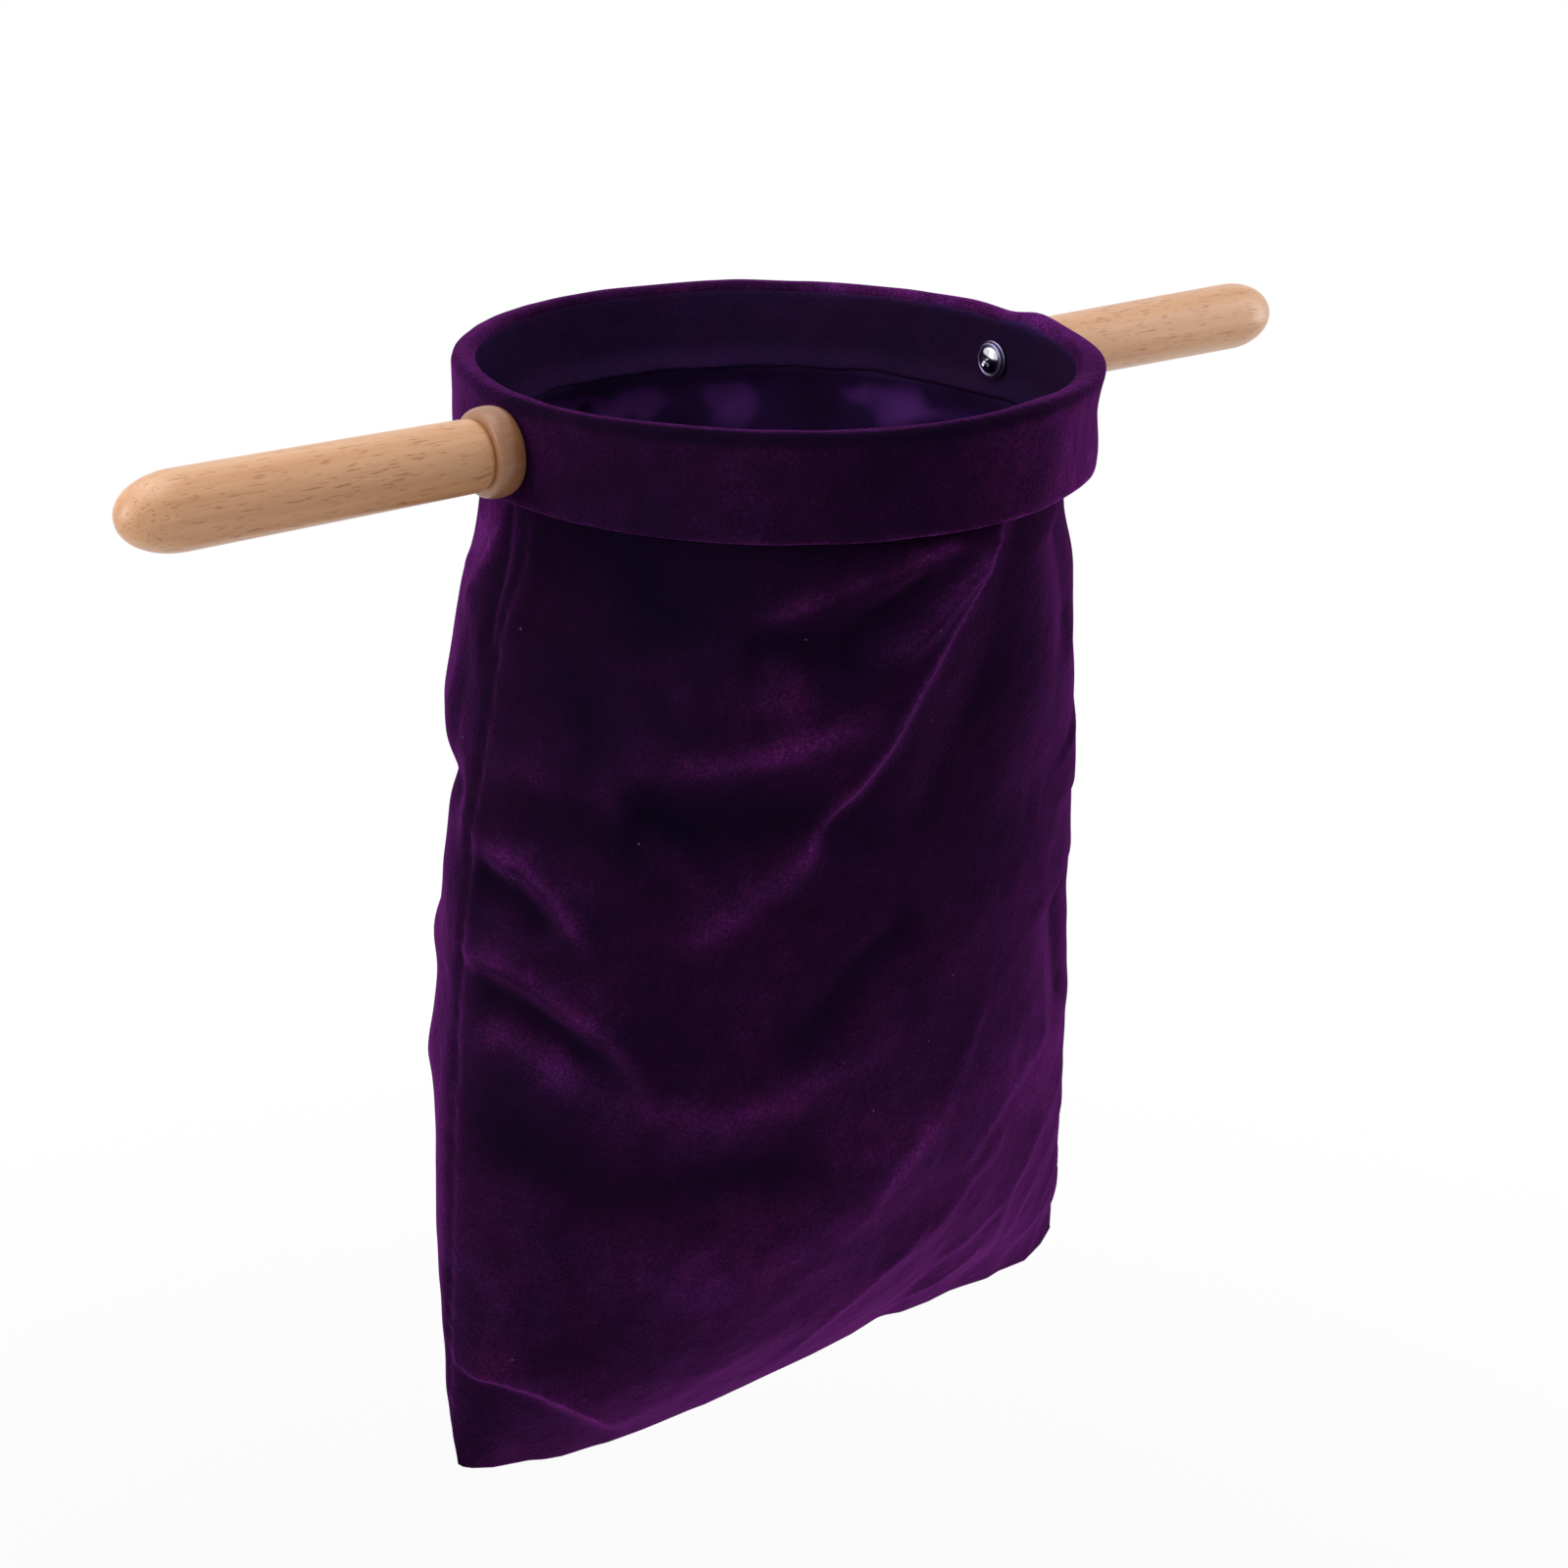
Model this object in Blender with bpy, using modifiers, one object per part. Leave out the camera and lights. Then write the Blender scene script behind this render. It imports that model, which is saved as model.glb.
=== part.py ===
# Offertory bag: a velvet pouch hung from a round velvet-covered band, carried by two turned
# beech handles that screw to the band from inside.
# Metres, +Z up. X runs along the handles, the front is -Y, and the origin is on the ground
# plane below the centre of the band, at the height of the pouch's bottom seam.

import math

import bmesh
import bpy
from mathutils import Matrix, Vector

# Clearance between pieces that touch.
GAP = 0.0003

# How finely rounds are drawn, which edges stay sharp, and how close points become one.
ROUND_STEPS = 4
DOME_STEPS = 8
HEAD_STEPS = 6
SHOULDER_STEPS = 2
THREAD_SIDES = 6
SHARP_ANGLE = 35
MERGE_DISTANCE = 0.000005

# Band: a bent plywood hoop under a velvet cover.
BAND_RADIUS = 0.1150
BAND_HEIGHT = 0.0365
HOOP_WALL = 0.0050
COVER_WALL = 0.0016
COVER_TOP_ROUND = 0.0030
HEM_DEPTH = 0.0018
BAND_STEPS = 72

# Pouch, from the band's underside down to the bottom seam.
POUCH_DROP = 0.3960
VELVET_WALL = 0.0014
LINING_WALL = 0.0006
SEAM_ALLOWANCE = 0.0028
SEAM_VOID = 0.0020
MOUTH_REACH = 0.0040
MOUTH_CLEARANCE = 0.0005
NECK_DEPTH = 0.0150
NECK_HALF_WIDTH = 0.1052
NECK_HALF_DEPTH = 0.1035
COLLAR_DEPTH = 0.0280
COLLAR_HALF_WIDTH = 0.1065
COLLAR_HALF_DEPTH = 0.0990
YOKE_DEPTH = 0.0450
YOKE_HALF_WIDTH = 0.1165
YOKE_HALF_DEPTH = 0.0970
SHOULDER_DEPTH = 0.0700
SHOULDER_HALF_WIDTH = 0.1245
SHOULDER_HALF_DEPTH = 0.0930
BELLY_SHARE = 0.50
BELLY_HALF_WIDTH = 0.1430
BELLY_HALF_DEPTH = 0.0770
HIP_SHARE = 0.72
HIP_HALF_WIDTH = 0.1505
HIP_HALF_DEPTH = 0.0650
TAPER_SHARE = 0.87
TAPER_HALF_WIDTH = 0.1545
TAPER_HALF_DEPTH = 0.0415
SEAM_HALF_WIDTH = 0.1550
SEAM_HALF_DEPTH = 0.0040
PANEL_COLUMNS = 22
PANEL_ROWS = 20
COLUMN_CROWDING = 0.6
ROW_CROWDING = 1.3
THREAD_RADIUS = 0.00035
THREAD_END = 0.0200

# Folds of the hanging velvet. A flank is how far a fold reaches to one side of its line.
RIDGE_HEIGHT = 0.0070
SWAG_HEIGHT = 0.0060
SOFT_FOLD_HEIGHT = 0.0035
HOLLOW_DEPTH = 0.0045
BROAD_FLANK = 0.0400
SOFT_FLANK = 0.0180
CRISP_FLANK = 0.0080
FOLD_STEPS = 4
FOLD_SHARPNESS = 1.6
FOLD_START_SHARE = 0.16
FOLD_END_SHARE = 0.74
FOLDS_BEGIN_DEPTH = 0.0250
FOLDS_FULL_DEPTH = 0.0600
FOLDS_SEAM_SINE = 0.30

# Handles, measured outwards from the face that meets the band.
HANDLE_LENGTH = 0.1400
COLLAR_FACE_RADIUS = 0.0132
BEAD_RADIUS = 0.0155
BEAD_LENGTH = 0.0105
GROOVE_RADIUS = 0.0112
GRIP_ROOT_RADIUS = 0.0124
GRIP_RADIUS = 0.0131
SHOULDER_ROUND = 0.0020
DOME_LENGTH = 0.0200
SHOULDER_ARC_END = -45
BEAD_ARC_START = 75
HANDLE_STEPS = 24

# Fixings: M6 machine screws in brass sleeves let into the handles.
SCREW_RADIUS = 0.0030
SCREW_LENGTH = 0.0250
HEAD_RADIUS = 0.0065
HEAD_HEIGHT = 0.0030
HEAD_ARC_START = -12
RECESS_SPAN = 0.0066
RECESS_WIDTH = 0.0013
RECESS_DEPTH = 0.0016
WASHER_RADIUS = 0.00725
WASHER_WALL = 0.0010
SCREW_CLEARANCE = 0.0003
SLEEVE_WALL = 0.0012
SLEEVE_LENGTH = 0.0120
SLEEVE_INSET = 0.0005
BORE_ALLOWANCE = 0.0025
FIXING_STEPS = 20

# Worked out from the sizes above.
BAND_BOTTOM = POUCH_DROP
BAND_TOP = BAND_BOTTOM + BAND_HEIGHT
HANDLE_HEIGHT = BAND_BOTTOM + BAND_HEIGHT / 2
HOOP_OUTER = BAND_RADIUS - COVER_WALL - GAP
HOOP_INNER = HOOP_OUTER - HOOP_WALL
BAND_INNER = HOOP_INNER - GAP - COVER_WALL
MOUTH_RADIUS = BAND_INNER - MOUTH_CLEARANCE
HOLE_RADIUS = SCREW_RADIUS + SCREW_CLEARANCE
SLEEVE_RADIUS = HOLE_RADIUS + SLEEVE_WALL
BORE_RADIUS = SLEEVE_RADIUS + GAP
WASHER_SEAT = math.sqrt(BAND_INNER**2 - WASHER_RADIUS**2) - GAP
HEAD_SEAT = WASHER_SEAT - WASHER_WALL - GAP
HANDLE_SEAT = BAND_RADIUS + GAP
BORE_DEPTH = HEAD_SEAT + SCREW_LENGTH - HANDLE_SEAT + BORE_ALLOWANCE

# Pouch sections: depth below the band, half width along X, half depth along Y.
POUCH_SECTIONS = [
    (-MOUTH_REACH, MOUTH_RADIUS, MOUTH_RADIUS),
    (0.0, MOUTH_RADIUS, MOUTH_RADIUS),
    (NECK_DEPTH, NECK_HALF_WIDTH, NECK_HALF_DEPTH),
    (COLLAR_DEPTH, COLLAR_HALF_WIDTH, COLLAR_HALF_DEPTH),
    (YOKE_DEPTH, YOKE_HALF_WIDTH, YOKE_HALF_DEPTH),
    (SHOULDER_DEPTH, SHOULDER_HALF_WIDTH, SHOULDER_HALF_DEPTH),
    (BELLY_SHARE * POUCH_DROP, BELLY_HALF_WIDTH, BELLY_HALF_DEPTH),
    (HIP_SHARE * POUCH_DROP, HIP_HALF_WIDTH, HIP_HALF_DEPTH),
    (TAPER_SHARE * POUCH_DROP, TAPER_HALF_WIDTH, TAPER_HALF_DEPTH),
    (POUCH_DROP, SEAM_HALF_WIDTH, SEAM_HALF_DEPTH),
]

# Main folds of each half: height, flank on the right of travel, flank on the left, and the line as
# (degrees round from the right seam, share of the drop). The ridge runs down from the front of the
# band to the left; swags cross from the left seam; the back hangs in softer folds.
FRONT_FOLDS = [
    (RIDGE_HEIGHT, BROAD_FLANK, CRISP_FLANK, [(83, 0.0), (88, 0.07), (94, 0.13), (105, 0.25), (122, 0.38)]),
    (-HOLLOW_DEPTH, SOFT_FLANK, SOFT_FLANK, [(72, 0.02), (77, 0.08), (82, 0.20), (92, 0.34)]),
    (SWAG_HEIGHT, SOFT_FLANK, CRISP_FLANK, [(94, 0.17), (109, 0.195), (127, 0.21), (148, 0.22)]),
    (-HOLLOW_DEPTH, SOFT_FLANK, SOFT_FLANK, [(146, 0.235), (130, 0.26), (115, 0.275), (105, 0.235)]),
    (SWAG_HEIGHT, CRISP_FLANK, SOFT_FLANK, [(178, 0.30), (165, 0.31), (154, 0.33), (147, 0.37), (145, 0.41)]),
    (SWAG_HEIGHT, CRISP_FLANK, SOFT_FLANK, [(178, 0.40), (162, 0.405), (150, 0.44), (135, 0.51), (131, 0.545)]),
    (SWAG_HEIGHT, SOFT_FLANK, SOFT_FLANK, [(178, 0.48), (154, 0.49), (139, 0.525), (108, 0.55), (86, 0.51)]),
    (-HOLLOW_DEPTH, SOFT_FLANK, SOFT_FLANK, [(178, 0.56), (150, 0.60), (137, 0.63), (96, 0.65)]),
    (SOFT_FOLD_HEIGHT, SOFT_FLANK, SOFT_FLANK, [(104, 0.29), (116, 0.32), (123, 0.35), (130, 0.395)]),
    (-SOFT_FOLD_HEIGHT, SOFT_FLANK, SOFT_FLANK, [(87, 0.395), (98, 0.43), (108, 0.50), (113, 0.535)]),
    (SOFT_FOLD_HEIGHT, BROAD_FLANK, SOFT_FLANK, [(76, 0.62), (90, 0.69), (100, 0.73), (134, 0.75)]),
]
BACK_FOLDS = [
    (SWAG_HEIGHT, CRISP_FLANK, BROAD_FLANK, [(96, 0.0), (92, 0.10), (84, 0.20), (72, 0.30), (60, 0.365)]),
    (-SOFT_FOLD_HEIGHT, SOFT_FLANK, SOFT_FLANK, [(106, 0.04), (100, 0.18), (90, 0.29)]),
    (SOFT_FOLD_HEIGHT, CRISP_FLANK, SOFT_FLANK, [(14, 0.285), (40, 0.315), (62, 0.375), (88, 0.41)]),
    (SOFT_FOLD_HEIGHT, CRISP_FLANK, SOFT_FLANK, [(10, 0.45), (34, 0.465), (58, 0.51), (88, 0.55), (120, 0.54)]),
    (-SOFT_FOLD_HEIGHT, SOFT_FLANK, SOFT_FLANK, [(30, 0.545), (60, 0.59), (100, 0.615)]),
    (SOFT_FOLD_HEIGHT, SOFT_FLANK, SOFT_FLANK, [(112, 0.28), (130, 0.37), (148, 0.42), (170, 0.445)]),
    (SOFT_FOLD_HEIGHT, SOFT_FLANK, SOFT_FLANK, [(138, 0.19), (156, 0.20), (168, 0.205)]),
    (SOFT_FOLD_HEIGHT, SOFT_FLANK, SOFT_FLANK, [(124, 0.62), (144, 0.68), (160, 0.76)]),
]


def clear_scene():
    for obj in list(bpy.data.objects):
        bpy.data.objects.remove(obj, do_unlink=True)


def make_collection(name):
    found = bpy.data.collections.new(name)
    bpy.context.scene.collection.children.link(found)
    return found


def make_material(name, color, roughness, metallic=0.0):
    material = bpy.data.materials.new(name)
    material.use_nodes = True
    shader = material.node_tree.nodes["Principled BSDF"]
    shader.inputs["Base Color"].default_value = (*color, 1.0)
    shader.inputs["Roughness"].default_value = roughness
    shader.inputs["Metallic"].default_value = metallic
    material.diffuse_color = (*color, 1.0)
    return material


def add_object(name, mesh, collection, material):
    obj = bpy.data.objects.new(name, mesh)
    collection.objects.link(obj)
    mesh.materials.append(material)
    return obj


def shade_round(mesh):
    mesh.shade_smooth()
    mesh.set_sharp_from_angle(angle=math.radians(SHARP_ANGLE))


def arc(center, radius_x, radius_z, start, end, count):
    # Points of an elliptical arc in the XZ plane, angles in degrees from +X towards +Z.
    points = []
    for index in range(count + 1):
        angle = math.radians(start + (end - start) * index / count)
        x = center[0] + radius_x * math.cos(angle)
        z = center[1] + radius_z * math.sin(angle)
        points.append((x, z))
    return points


def turned_piece(name, profile, steps, closed, collection, material):
    # The profile is (radius, height) pairs, down the outer side, turned about local Z.
    mesh = bpy.data.meshes.new(name)
    verts = [(radius, 0.0, height) for radius, height in profile]
    edges = [(index, index + 1) for index in range(len(verts) - 1)]
    if closed:
        edges.append((len(verts) - 1, 0))
    mesh.from_pydata(verts, edges, [])
    obj = add_object(name, mesh, collection, material)
    screw = obj.modifiers.new("Turn", "SCREW")
    screw.axis = "Z"
    screw.angle = math.tau
    screw.steps = steps
    screw.render_steps = steps
    screw.use_merge_vertices = True
    screw.merge_threshold = MERGE_DISTANCE
    screw.use_smooth_shade = True
    return obj


def cut(obj, cutter, label):
    cutter.hide_render = True
    cutter.display_type = "WIRE"
    boolean = obj.modifiers.new(label, "BOOLEAN")
    boolean.operation = "DIFFERENCE"
    boolean.solver = "EXACT"
    boolean.use_self = True
    boolean.object = cutter


def screw_hole_cutter(collection):
    # One rod right across the band clears both screws.
    mesh = bpy.data.meshes.new("screw_hole_cutter")
    shape = bmesh.new()
    bmesh.ops.create_cone(
        shape,
        cap_ends=True,
        segments=FIXING_STEPS,
        radius1=HOLE_RADIUS,
        radius2=HOLE_RADIUS,
        depth=2 * (BAND_RADIUS + BAND_HEIGHT),
    )
    shape.to_mesh(mesh)
    shape.free()
    cutter = bpy.data.objects.new("screw_hole_cutter", mesh)
    cutter.location = (0.0, 0.0, HANDLE_HEIGHT)
    cutter.rotation_euler = (0.0, math.radians(90), 0.0)
    collection.objects.link(cutter)
    return cutter


def build_hoop(collection, hole, material):
    low = BAND_BOTTOM + HEM_DEPTH
    high = BAND_TOP - COVER_WALL - GAP
    profile = [
        (HOOP_OUTER - COVER_TOP_ROUND / 2, high),
        (HOOP_OUTER, high - COVER_TOP_ROUND),
        (HOOP_OUTER, low),
        (HOOP_INNER, low),
        (HOOP_INNER, high - COVER_TOP_ROUND),
        (HOOP_INNER + COVER_TOP_ROUND / 2, high),
    ]
    hoop = turned_piece("hoop", profile, BAND_STEPS, True, collection, material)
    cut(hoop, hole, "Screw holes")
    return hoop


def build_rim_cover(collection, hole, material):
    # An upside-down channel of velvet over the hoop, rounded along its top.
    skin = COVER_WALL + GAP
    crown = BAND_TOP - COVER_TOP_ROUND
    lid = BAND_TOP - skin
    turn = COVER_TOP_ROUND
    outside = arc((BAND_RADIUS - turn, crown), turn, turn, 90, 0, ROUND_STEPS)
    inside = arc((BAND_INNER + turn, crown), turn, turn, 180, 90, ROUND_STEPS)
    channel = [
        (BAND_RADIUS, BAND_BOTTOM),
        (BAND_RADIUS - COVER_WALL, BAND_BOTTOM),
        (BAND_RADIUS - COVER_WALL, lid - COVER_TOP_ROUND + GAP),
        (HOOP_OUTER - COVER_TOP_ROUND / 2 + GAP, lid + GAP),
        (HOOP_INNER + COVER_TOP_ROUND / 2 - GAP, lid + GAP),
        (BAND_INNER + COVER_WALL, lid - COVER_TOP_ROUND + GAP),
        (BAND_INNER + COVER_WALL, BAND_BOTTOM),
        (BAND_INNER, BAND_BOTTOM),
    ]
    profile = outside + channel + inside
    cover = turned_piece("rim_cover", profile, BAND_STEPS, True, collection, material)
    cut(cover, hole, "Screw holes")
    return cover


def build_cover_thread(collection, material):
    # The row of stitches that closes the cover under the hoop, beside its inner leg.
    radius = BAND_INNER + COVER_WALL + GAP + THREAD_RADIUS
    bpy.ops.mesh.primitive_torus_add(
        major_segments=BAND_STEPS,
        minor_segments=THREAD_SIDES,
        major_radius=radius,
        minor_radius=THREAD_RADIUS,
        location=(0.0, 0.0, BAND_BOTTOM + HEM_DEPTH / 2),
    )
    made = bpy.context.object
    thread = add_object("cover_seam_thread", made.data, collection, material)
    thread.location = made.location
    bpy.data.objects.remove(made, do_unlink=True)
    return thread


def pouch_section(depth):
    # Half width and half depth of the pouch's outer face, smooth through its sections.
    depths = [section[0] for section in POUCH_SECTIONS]
    last = len(depths) - 2
    index = 0
    while index < last and depth > depths[index + 1]:
        index += 1
    span = depths[index + 1] - depths[index]
    along = min(max((depth - depths[index]) / span, 0.0), 1.0)
    result = []
    for column in (1, 2):
        values = [section[column] for section in POUCH_SECTIONS]
        slopes = []
        for at in (index, index + 1):
            if at == 0 or at == len(depths) - 1:
                near = min(max(at, 1), len(depths) - 1)
                slopes.append((values[near] - values[near - 1]) / (depths[near] - depths[near - 1]))
            else:
                before = (values[at] - values[at - 1]) / (depths[at] - depths[at - 1])
                after = (values[at + 1] - values[at]) / (depths[at + 1] - depths[at])
                slopes.append(2 * before * after / (before + after) if before * after > 0 else 0.0)
        start = values[index]
        end = values[index + 1]
        rise = end - start
        cubic = slopes[0] * span + slopes[1] * span - 2 * rise
        square = 3 * rise - 2 * slopes[0] * span - slopes[1] * span
        result.append(start + along * (slopes[0] * span + along * (square + along * cubic)))
    return result


def sheet_depths(floor_inset):
    # Rows crowd near the mouth, and the last one stops short by the floor's inset.
    depths = []
    for row in range(PANEL_ROWS + 1):
        share = row / PANEL_ROWS
        depths.append(-MOUTH_REACH + (POUCH_DROP + MOUTH_REACH) * share**ROW_CROWDING)
    depths[-1] = POUCH_DROP - floor_inset
    return depths


def sheet_angles():
    # Columns crowd near the side seams, where the section turns fastest.
    angles = []
    for column in range(PANEL_COLUMNS + 1):
        share = column / PANEL_COLUMNS
        angles.append(math.pi * (share - COLUMN_CROWDING * math.sin(math.tau * share) / math.tau))
    return angles


def ease(value, low, high):
    # From 0 at low to 1 at high, without corners.
    share = min(max((value - low) / (high - low), 0.0), 1.0)
    return share * share * (3 - 2 * share)


def on_pouch(angle, depth, side):
    # A point of the plain pouch's outer face, and the direction straight out of it.
    half_width, half_depth = pouch_section(depth)
    across, out = math.cos(angle), side * math.sin(angle)
    spot = Vector((half_width * across, half_depth * out, -depth))
    return spot, Vector((half_depth * across, half_width * out, 0.0)).normalized()


def fold_paths(side):
    # Each fold of one half with its line as points on the plain pouch.
    paths = []
    for height, right, left, line in FRONT_FOLDS if side < 0 else BACK_FOLDS:
        path = []
        for start, end in zip(line, line[1:]):
            for step in range(FOLD_STEPS):
                angle, share = (a + (b - a) * step / FOLD_STEPS for a, b in zip(start, end))
                path.append(on_pouch(math.radians(angle), share * POUCH_DROP, side)[0])
        path.append(on_pouch(math.radians(line[-1][0]), line[-1][1] * POUCH_DROP, side)[0])
        paths.append((height, right, left, path))
    return paths


def fold_rise(spot, outward, height, right, left, path):
    # Highest on the line, falling away over each flank, and fading at the line's ends.
    nearest, flank, share = None, right, 0.0
    for index, (start, end) in enumerate(zip(path, path[1:])):
        run = end - start
        along = min(max((spot - start).dot(run) / run.length_squared, 0.0), 1.0)
        away = spot - start - run * along
        if nearest is None or away.length < nearest:
            nearest = away.length
            flank = right if away.dot(run.cross(outward)) > 0 else left
            share = (index + along) / (len(path) - 1)
    fade = 1 - ease(share, FOLD_END_SHARE, 1.0)
    if -path[0].z > FOLDS_BEGIN_DEPTH:
        fade *= ease(share, 0.0, FOLD_START_SHARE)
    return height * math.exp(-((nearest / flank) ** FOLD_SHARPNESS)) * fade


def add_sheet(shape, side, side_inset, face_inset, floor_inset):
    # One skin of a half pouch, as rows of vertices, closed at the bottom along its seam line. The
    # folds fade out at the band, at the side seams and where the pouch tapers to its bottom seam.
    rows = []
    paths = fold_paths(side)
    for depth in sheet_depths(floor_inset):
        half_width, half_depth = pouch_section(depth)
        hang = ease(depth, FOLDS_BEGIN_DEPTH, FOLDS_FULL_DEPTH)
        hang *= 1 - ease(depth, TAPER_SHARE * POUCH_DROP, POUCH_DROP - floor_inset)
        row = []
        for angle in sheet_angles():
            spot, outward = on_pouch(angle, depth, side)
            rise = sum(fold_rise(spot, outward, *path) for path in paths) if hang > 0 else 0.0
            rise *= hang * ease(math.sin(angle), 0.0, FOLDS_SEAM_SINE)
            x = (half_width - side_inset) * math.cos(angle)
            y = side * (GAP / 2 + (half_depth - face_inset) * abs(math.sin(angle)))
            row.append(shape.verts.new((x + rise * outward.x, y + rise * outward.y, -depth)))
        rows.append(row)
    seam = [shape.verts.new((vert.co.x, side * GAP / 2, vert.co.z)) for vert in rows[-1]]
    rows.append(seam)
    return rows


def build_half_pouch(name, side, outer, inner, collection, material):
    # A shell between two skins, joined round its edge: mouth, side seams and bottom seam.
    shape = bmesh.new()
    outside = add_sheet(shape, side, *outer)
    inside = add_sheet(shape, side, *inner)
    for rows in (outside, inside):
        for low, high in zip(rows, rows[1:]):
            for column in range(PANEL_COLUMNS):
                shape.faces.new((low[column], low[column + 1], high[column + 1], high[column]))
    for column in range(PANEL_COLUMNS):
        for row in (0, -1):
            a, b = outside[row][column], outside[row][column + 1]
            shape.faces.new((a, b, inside[row][column + 1], inside[row][column]))
    for edge in (0, -1):
        for row in range(len(outside) - 1):
            a, b = outside[row][edge], outside[row + 1][edge]
            shape.faces.new((a, b, inside[row + 1][edge], inside[row][edge]))
    bmesh.ops.remove_doubles(shape, verts=shape.verts, dist=MERGE_DISTANCE)
    bmesh.ops.recalc_face_normals(shape, faces=shape.faces)
    mesh = bpy.data.meshes.new(name)
    shape.to_mesh(mesh)
    shape.free()
    shade_round(mesh)
    obj = add_object(name, mesh, collection, material)
    obj.location = (0.0, 0.0, BAND_BOTTOM)
    return obj


def build_pouch_shells(collection, velvet, satin):
    void = SEAM_ALLOWANCE + SEAM_VOID
    velvet_outer = (0.0, 0.0, 0.0)
    velvet_inner = (SEAM_ALLOWANCE, VELVET_WALL, SEAM_ALLOWANCE)
    lining_face = VELVET_WALL + GAP
    lining_outer = (void, lining_face, void)
    lining_edge = void + 2 * LINING_WALL
    lining_inner = (lining_edge, lining_face + LINING_WALL, lining_edge)
    for word, side in (("front", -1), ("back", 1)):
        build_half_pouch(word + "_panel", side, velvet_outer, velvet_inner, collection, velvet)
        build_half_pouch(word + "_lining", side, lining_outer, lining_inner, collection, satin)


def thread_along(name, points, collection, material):
    curve = bpy.data.curves.new(name, "CURVE")
    curve.dimensions = "3D"
    curve.bevel_depth = THREAD_RADIUS
    curve.bevel_resolution = 1
    curve.use_fill_caps = True
    spline = curve.splines.new("POLY")
    spline.points.add(len(points) - 1)
    for point, place in zip(spline.points, points):
        point.co = (*place, 1.0)
    obj = bpy.data.objects.new(name, curve)
    obj.location = (0.0, 0.0, BAND_BOTTOM)
    collection.objects.link(obj)
    curve.materials.append(material)
    return obj


def build_seam_threads(collection, material):
    # Each thread lies in the void between the velvet's seam and the lining's.
    inset = SEAM_ALLOWANCE + SEAM_VOID / 2
    for word, side in (("left", -1), ("right", 1)):
        points = []
        for depth in sheet_depths(THREAD_END):
            half_width = pouch_section(depth)[0]
            points.append((side * (half_width - inset), 0.0, -depth))
        points[0] = (points[0][0], 0.0, points[0][2] - 2 * THREAD_RADIUS)
        thread_along(word + "_seam_thread", points, collection, material)
    depth = POUCH_DROP - inset
    reach = pouch_section(depth)[0] - THREAD_END
    count = PANEL_COLUMNS
    points = [(reach * (2 * index / count - 1), 0.0, -depth) for index in range(count + 1)]
    thread_along("bottom_seam_thread", points, collection, material)


def handle_profile():
    # Dome, grip, groove and bead down the outside, then the collar's face and the blind bore.
    dome = arc((0.0, HANDLE_LENGTH - DOME_LENGTH), GRIP_RADIUS, DOME_LENGTH, 90, 0, DOME_STEPS)
    dome[0] = (0.0, HANDLE_LENGTH)
    root = BEAD_LENGTH + (GRIP_ROOT_RADIUS - GROOVE_RADIUS)
    shoulder_center = (GRIP_ROOT_RADIUS - SHOULDER_ROUND, root + SHOULDER_ROUND)
    shoulder = arc(
        shoulder_center, SHOULDER_ROUND, SHOULDER_ROUND, 0, SHOULDER_ARC_END, SHOULDER_STEPS
    )
    bead_center = (COLLAR_FACE_RADIUS, BEAD_LENGTH / 2)
    bead_round = BEAD_RADIUS - COLLAR_FACE_RADIUS
    bead = arc(bead_center, bead_round, BEAD_LENGTH / 2, BEAD_ARC_START, -90, DOME_STEPS)
    bore = [
        (BORE_RADIUS, 0.0),
        (BORE_RADIUS, BORE_DEPTH),
        (0.0, BORE_DEPTH + BORE_RADIUS / 2),
    ]
    return dome + shoulder + [(GROOVE_RADIUS, BEAD_LENGTH)] + bead + bore


def screw_profile():
    # Shank and its chamfer, the flat under the head, then the low dome.
    chamfer = SCREW_RADIUS / 5
    dome = arc((0.0, 0.0), HEAD_RADIUS, HEAD_HEIGHT, HEAD_ARC_START, -90, HEAD_STEPS)
    dome[-1] = (0.0, -HEAD_HEIGHT)
    shank = [
        (0.0, SCREW_LENGTH),
        (SCREW_RADIUS - chamfer, SCREW_LENGTH),
        (SCREW_RADIUS, SCREW_LENGTH - chamfer),
        (SCREW_RADIUS, 0.0),
        (HEAD_RADIUS, 0.0),
    ]
    return shank + dome


def ring_profile(inner, outer, length):
    # A plain sleeve or washer from height 0 upwards.
    return [(outer, length), (outer, 0.0), (inner, 0.0), (inner, length)]


def recess_cutter(name, collection):
    # A cross for the driver, sunk into the top of the screw's dome.
    mesh = bpy.data.meshes.new(name)
    shape = bmesh.new()
    height = RECESS_DEPTH * 2
    for turn in (0.0, math.radians(90)):
        size = Matrix.Diagonal((RECESS_SPAN, RECESS_WIDTH, height, 1.0))
        bmesh.ops.create_cube(shape, size=1.0, matrix=Matrix.Rotation(turn, 4, "Z") @ size)
    shape.to_mesh(mesh)
    shape.free()
    cutter = bpy.data.objects.new(name, mesh)
    collection.objects.link(cutter)
    return cutter


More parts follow.
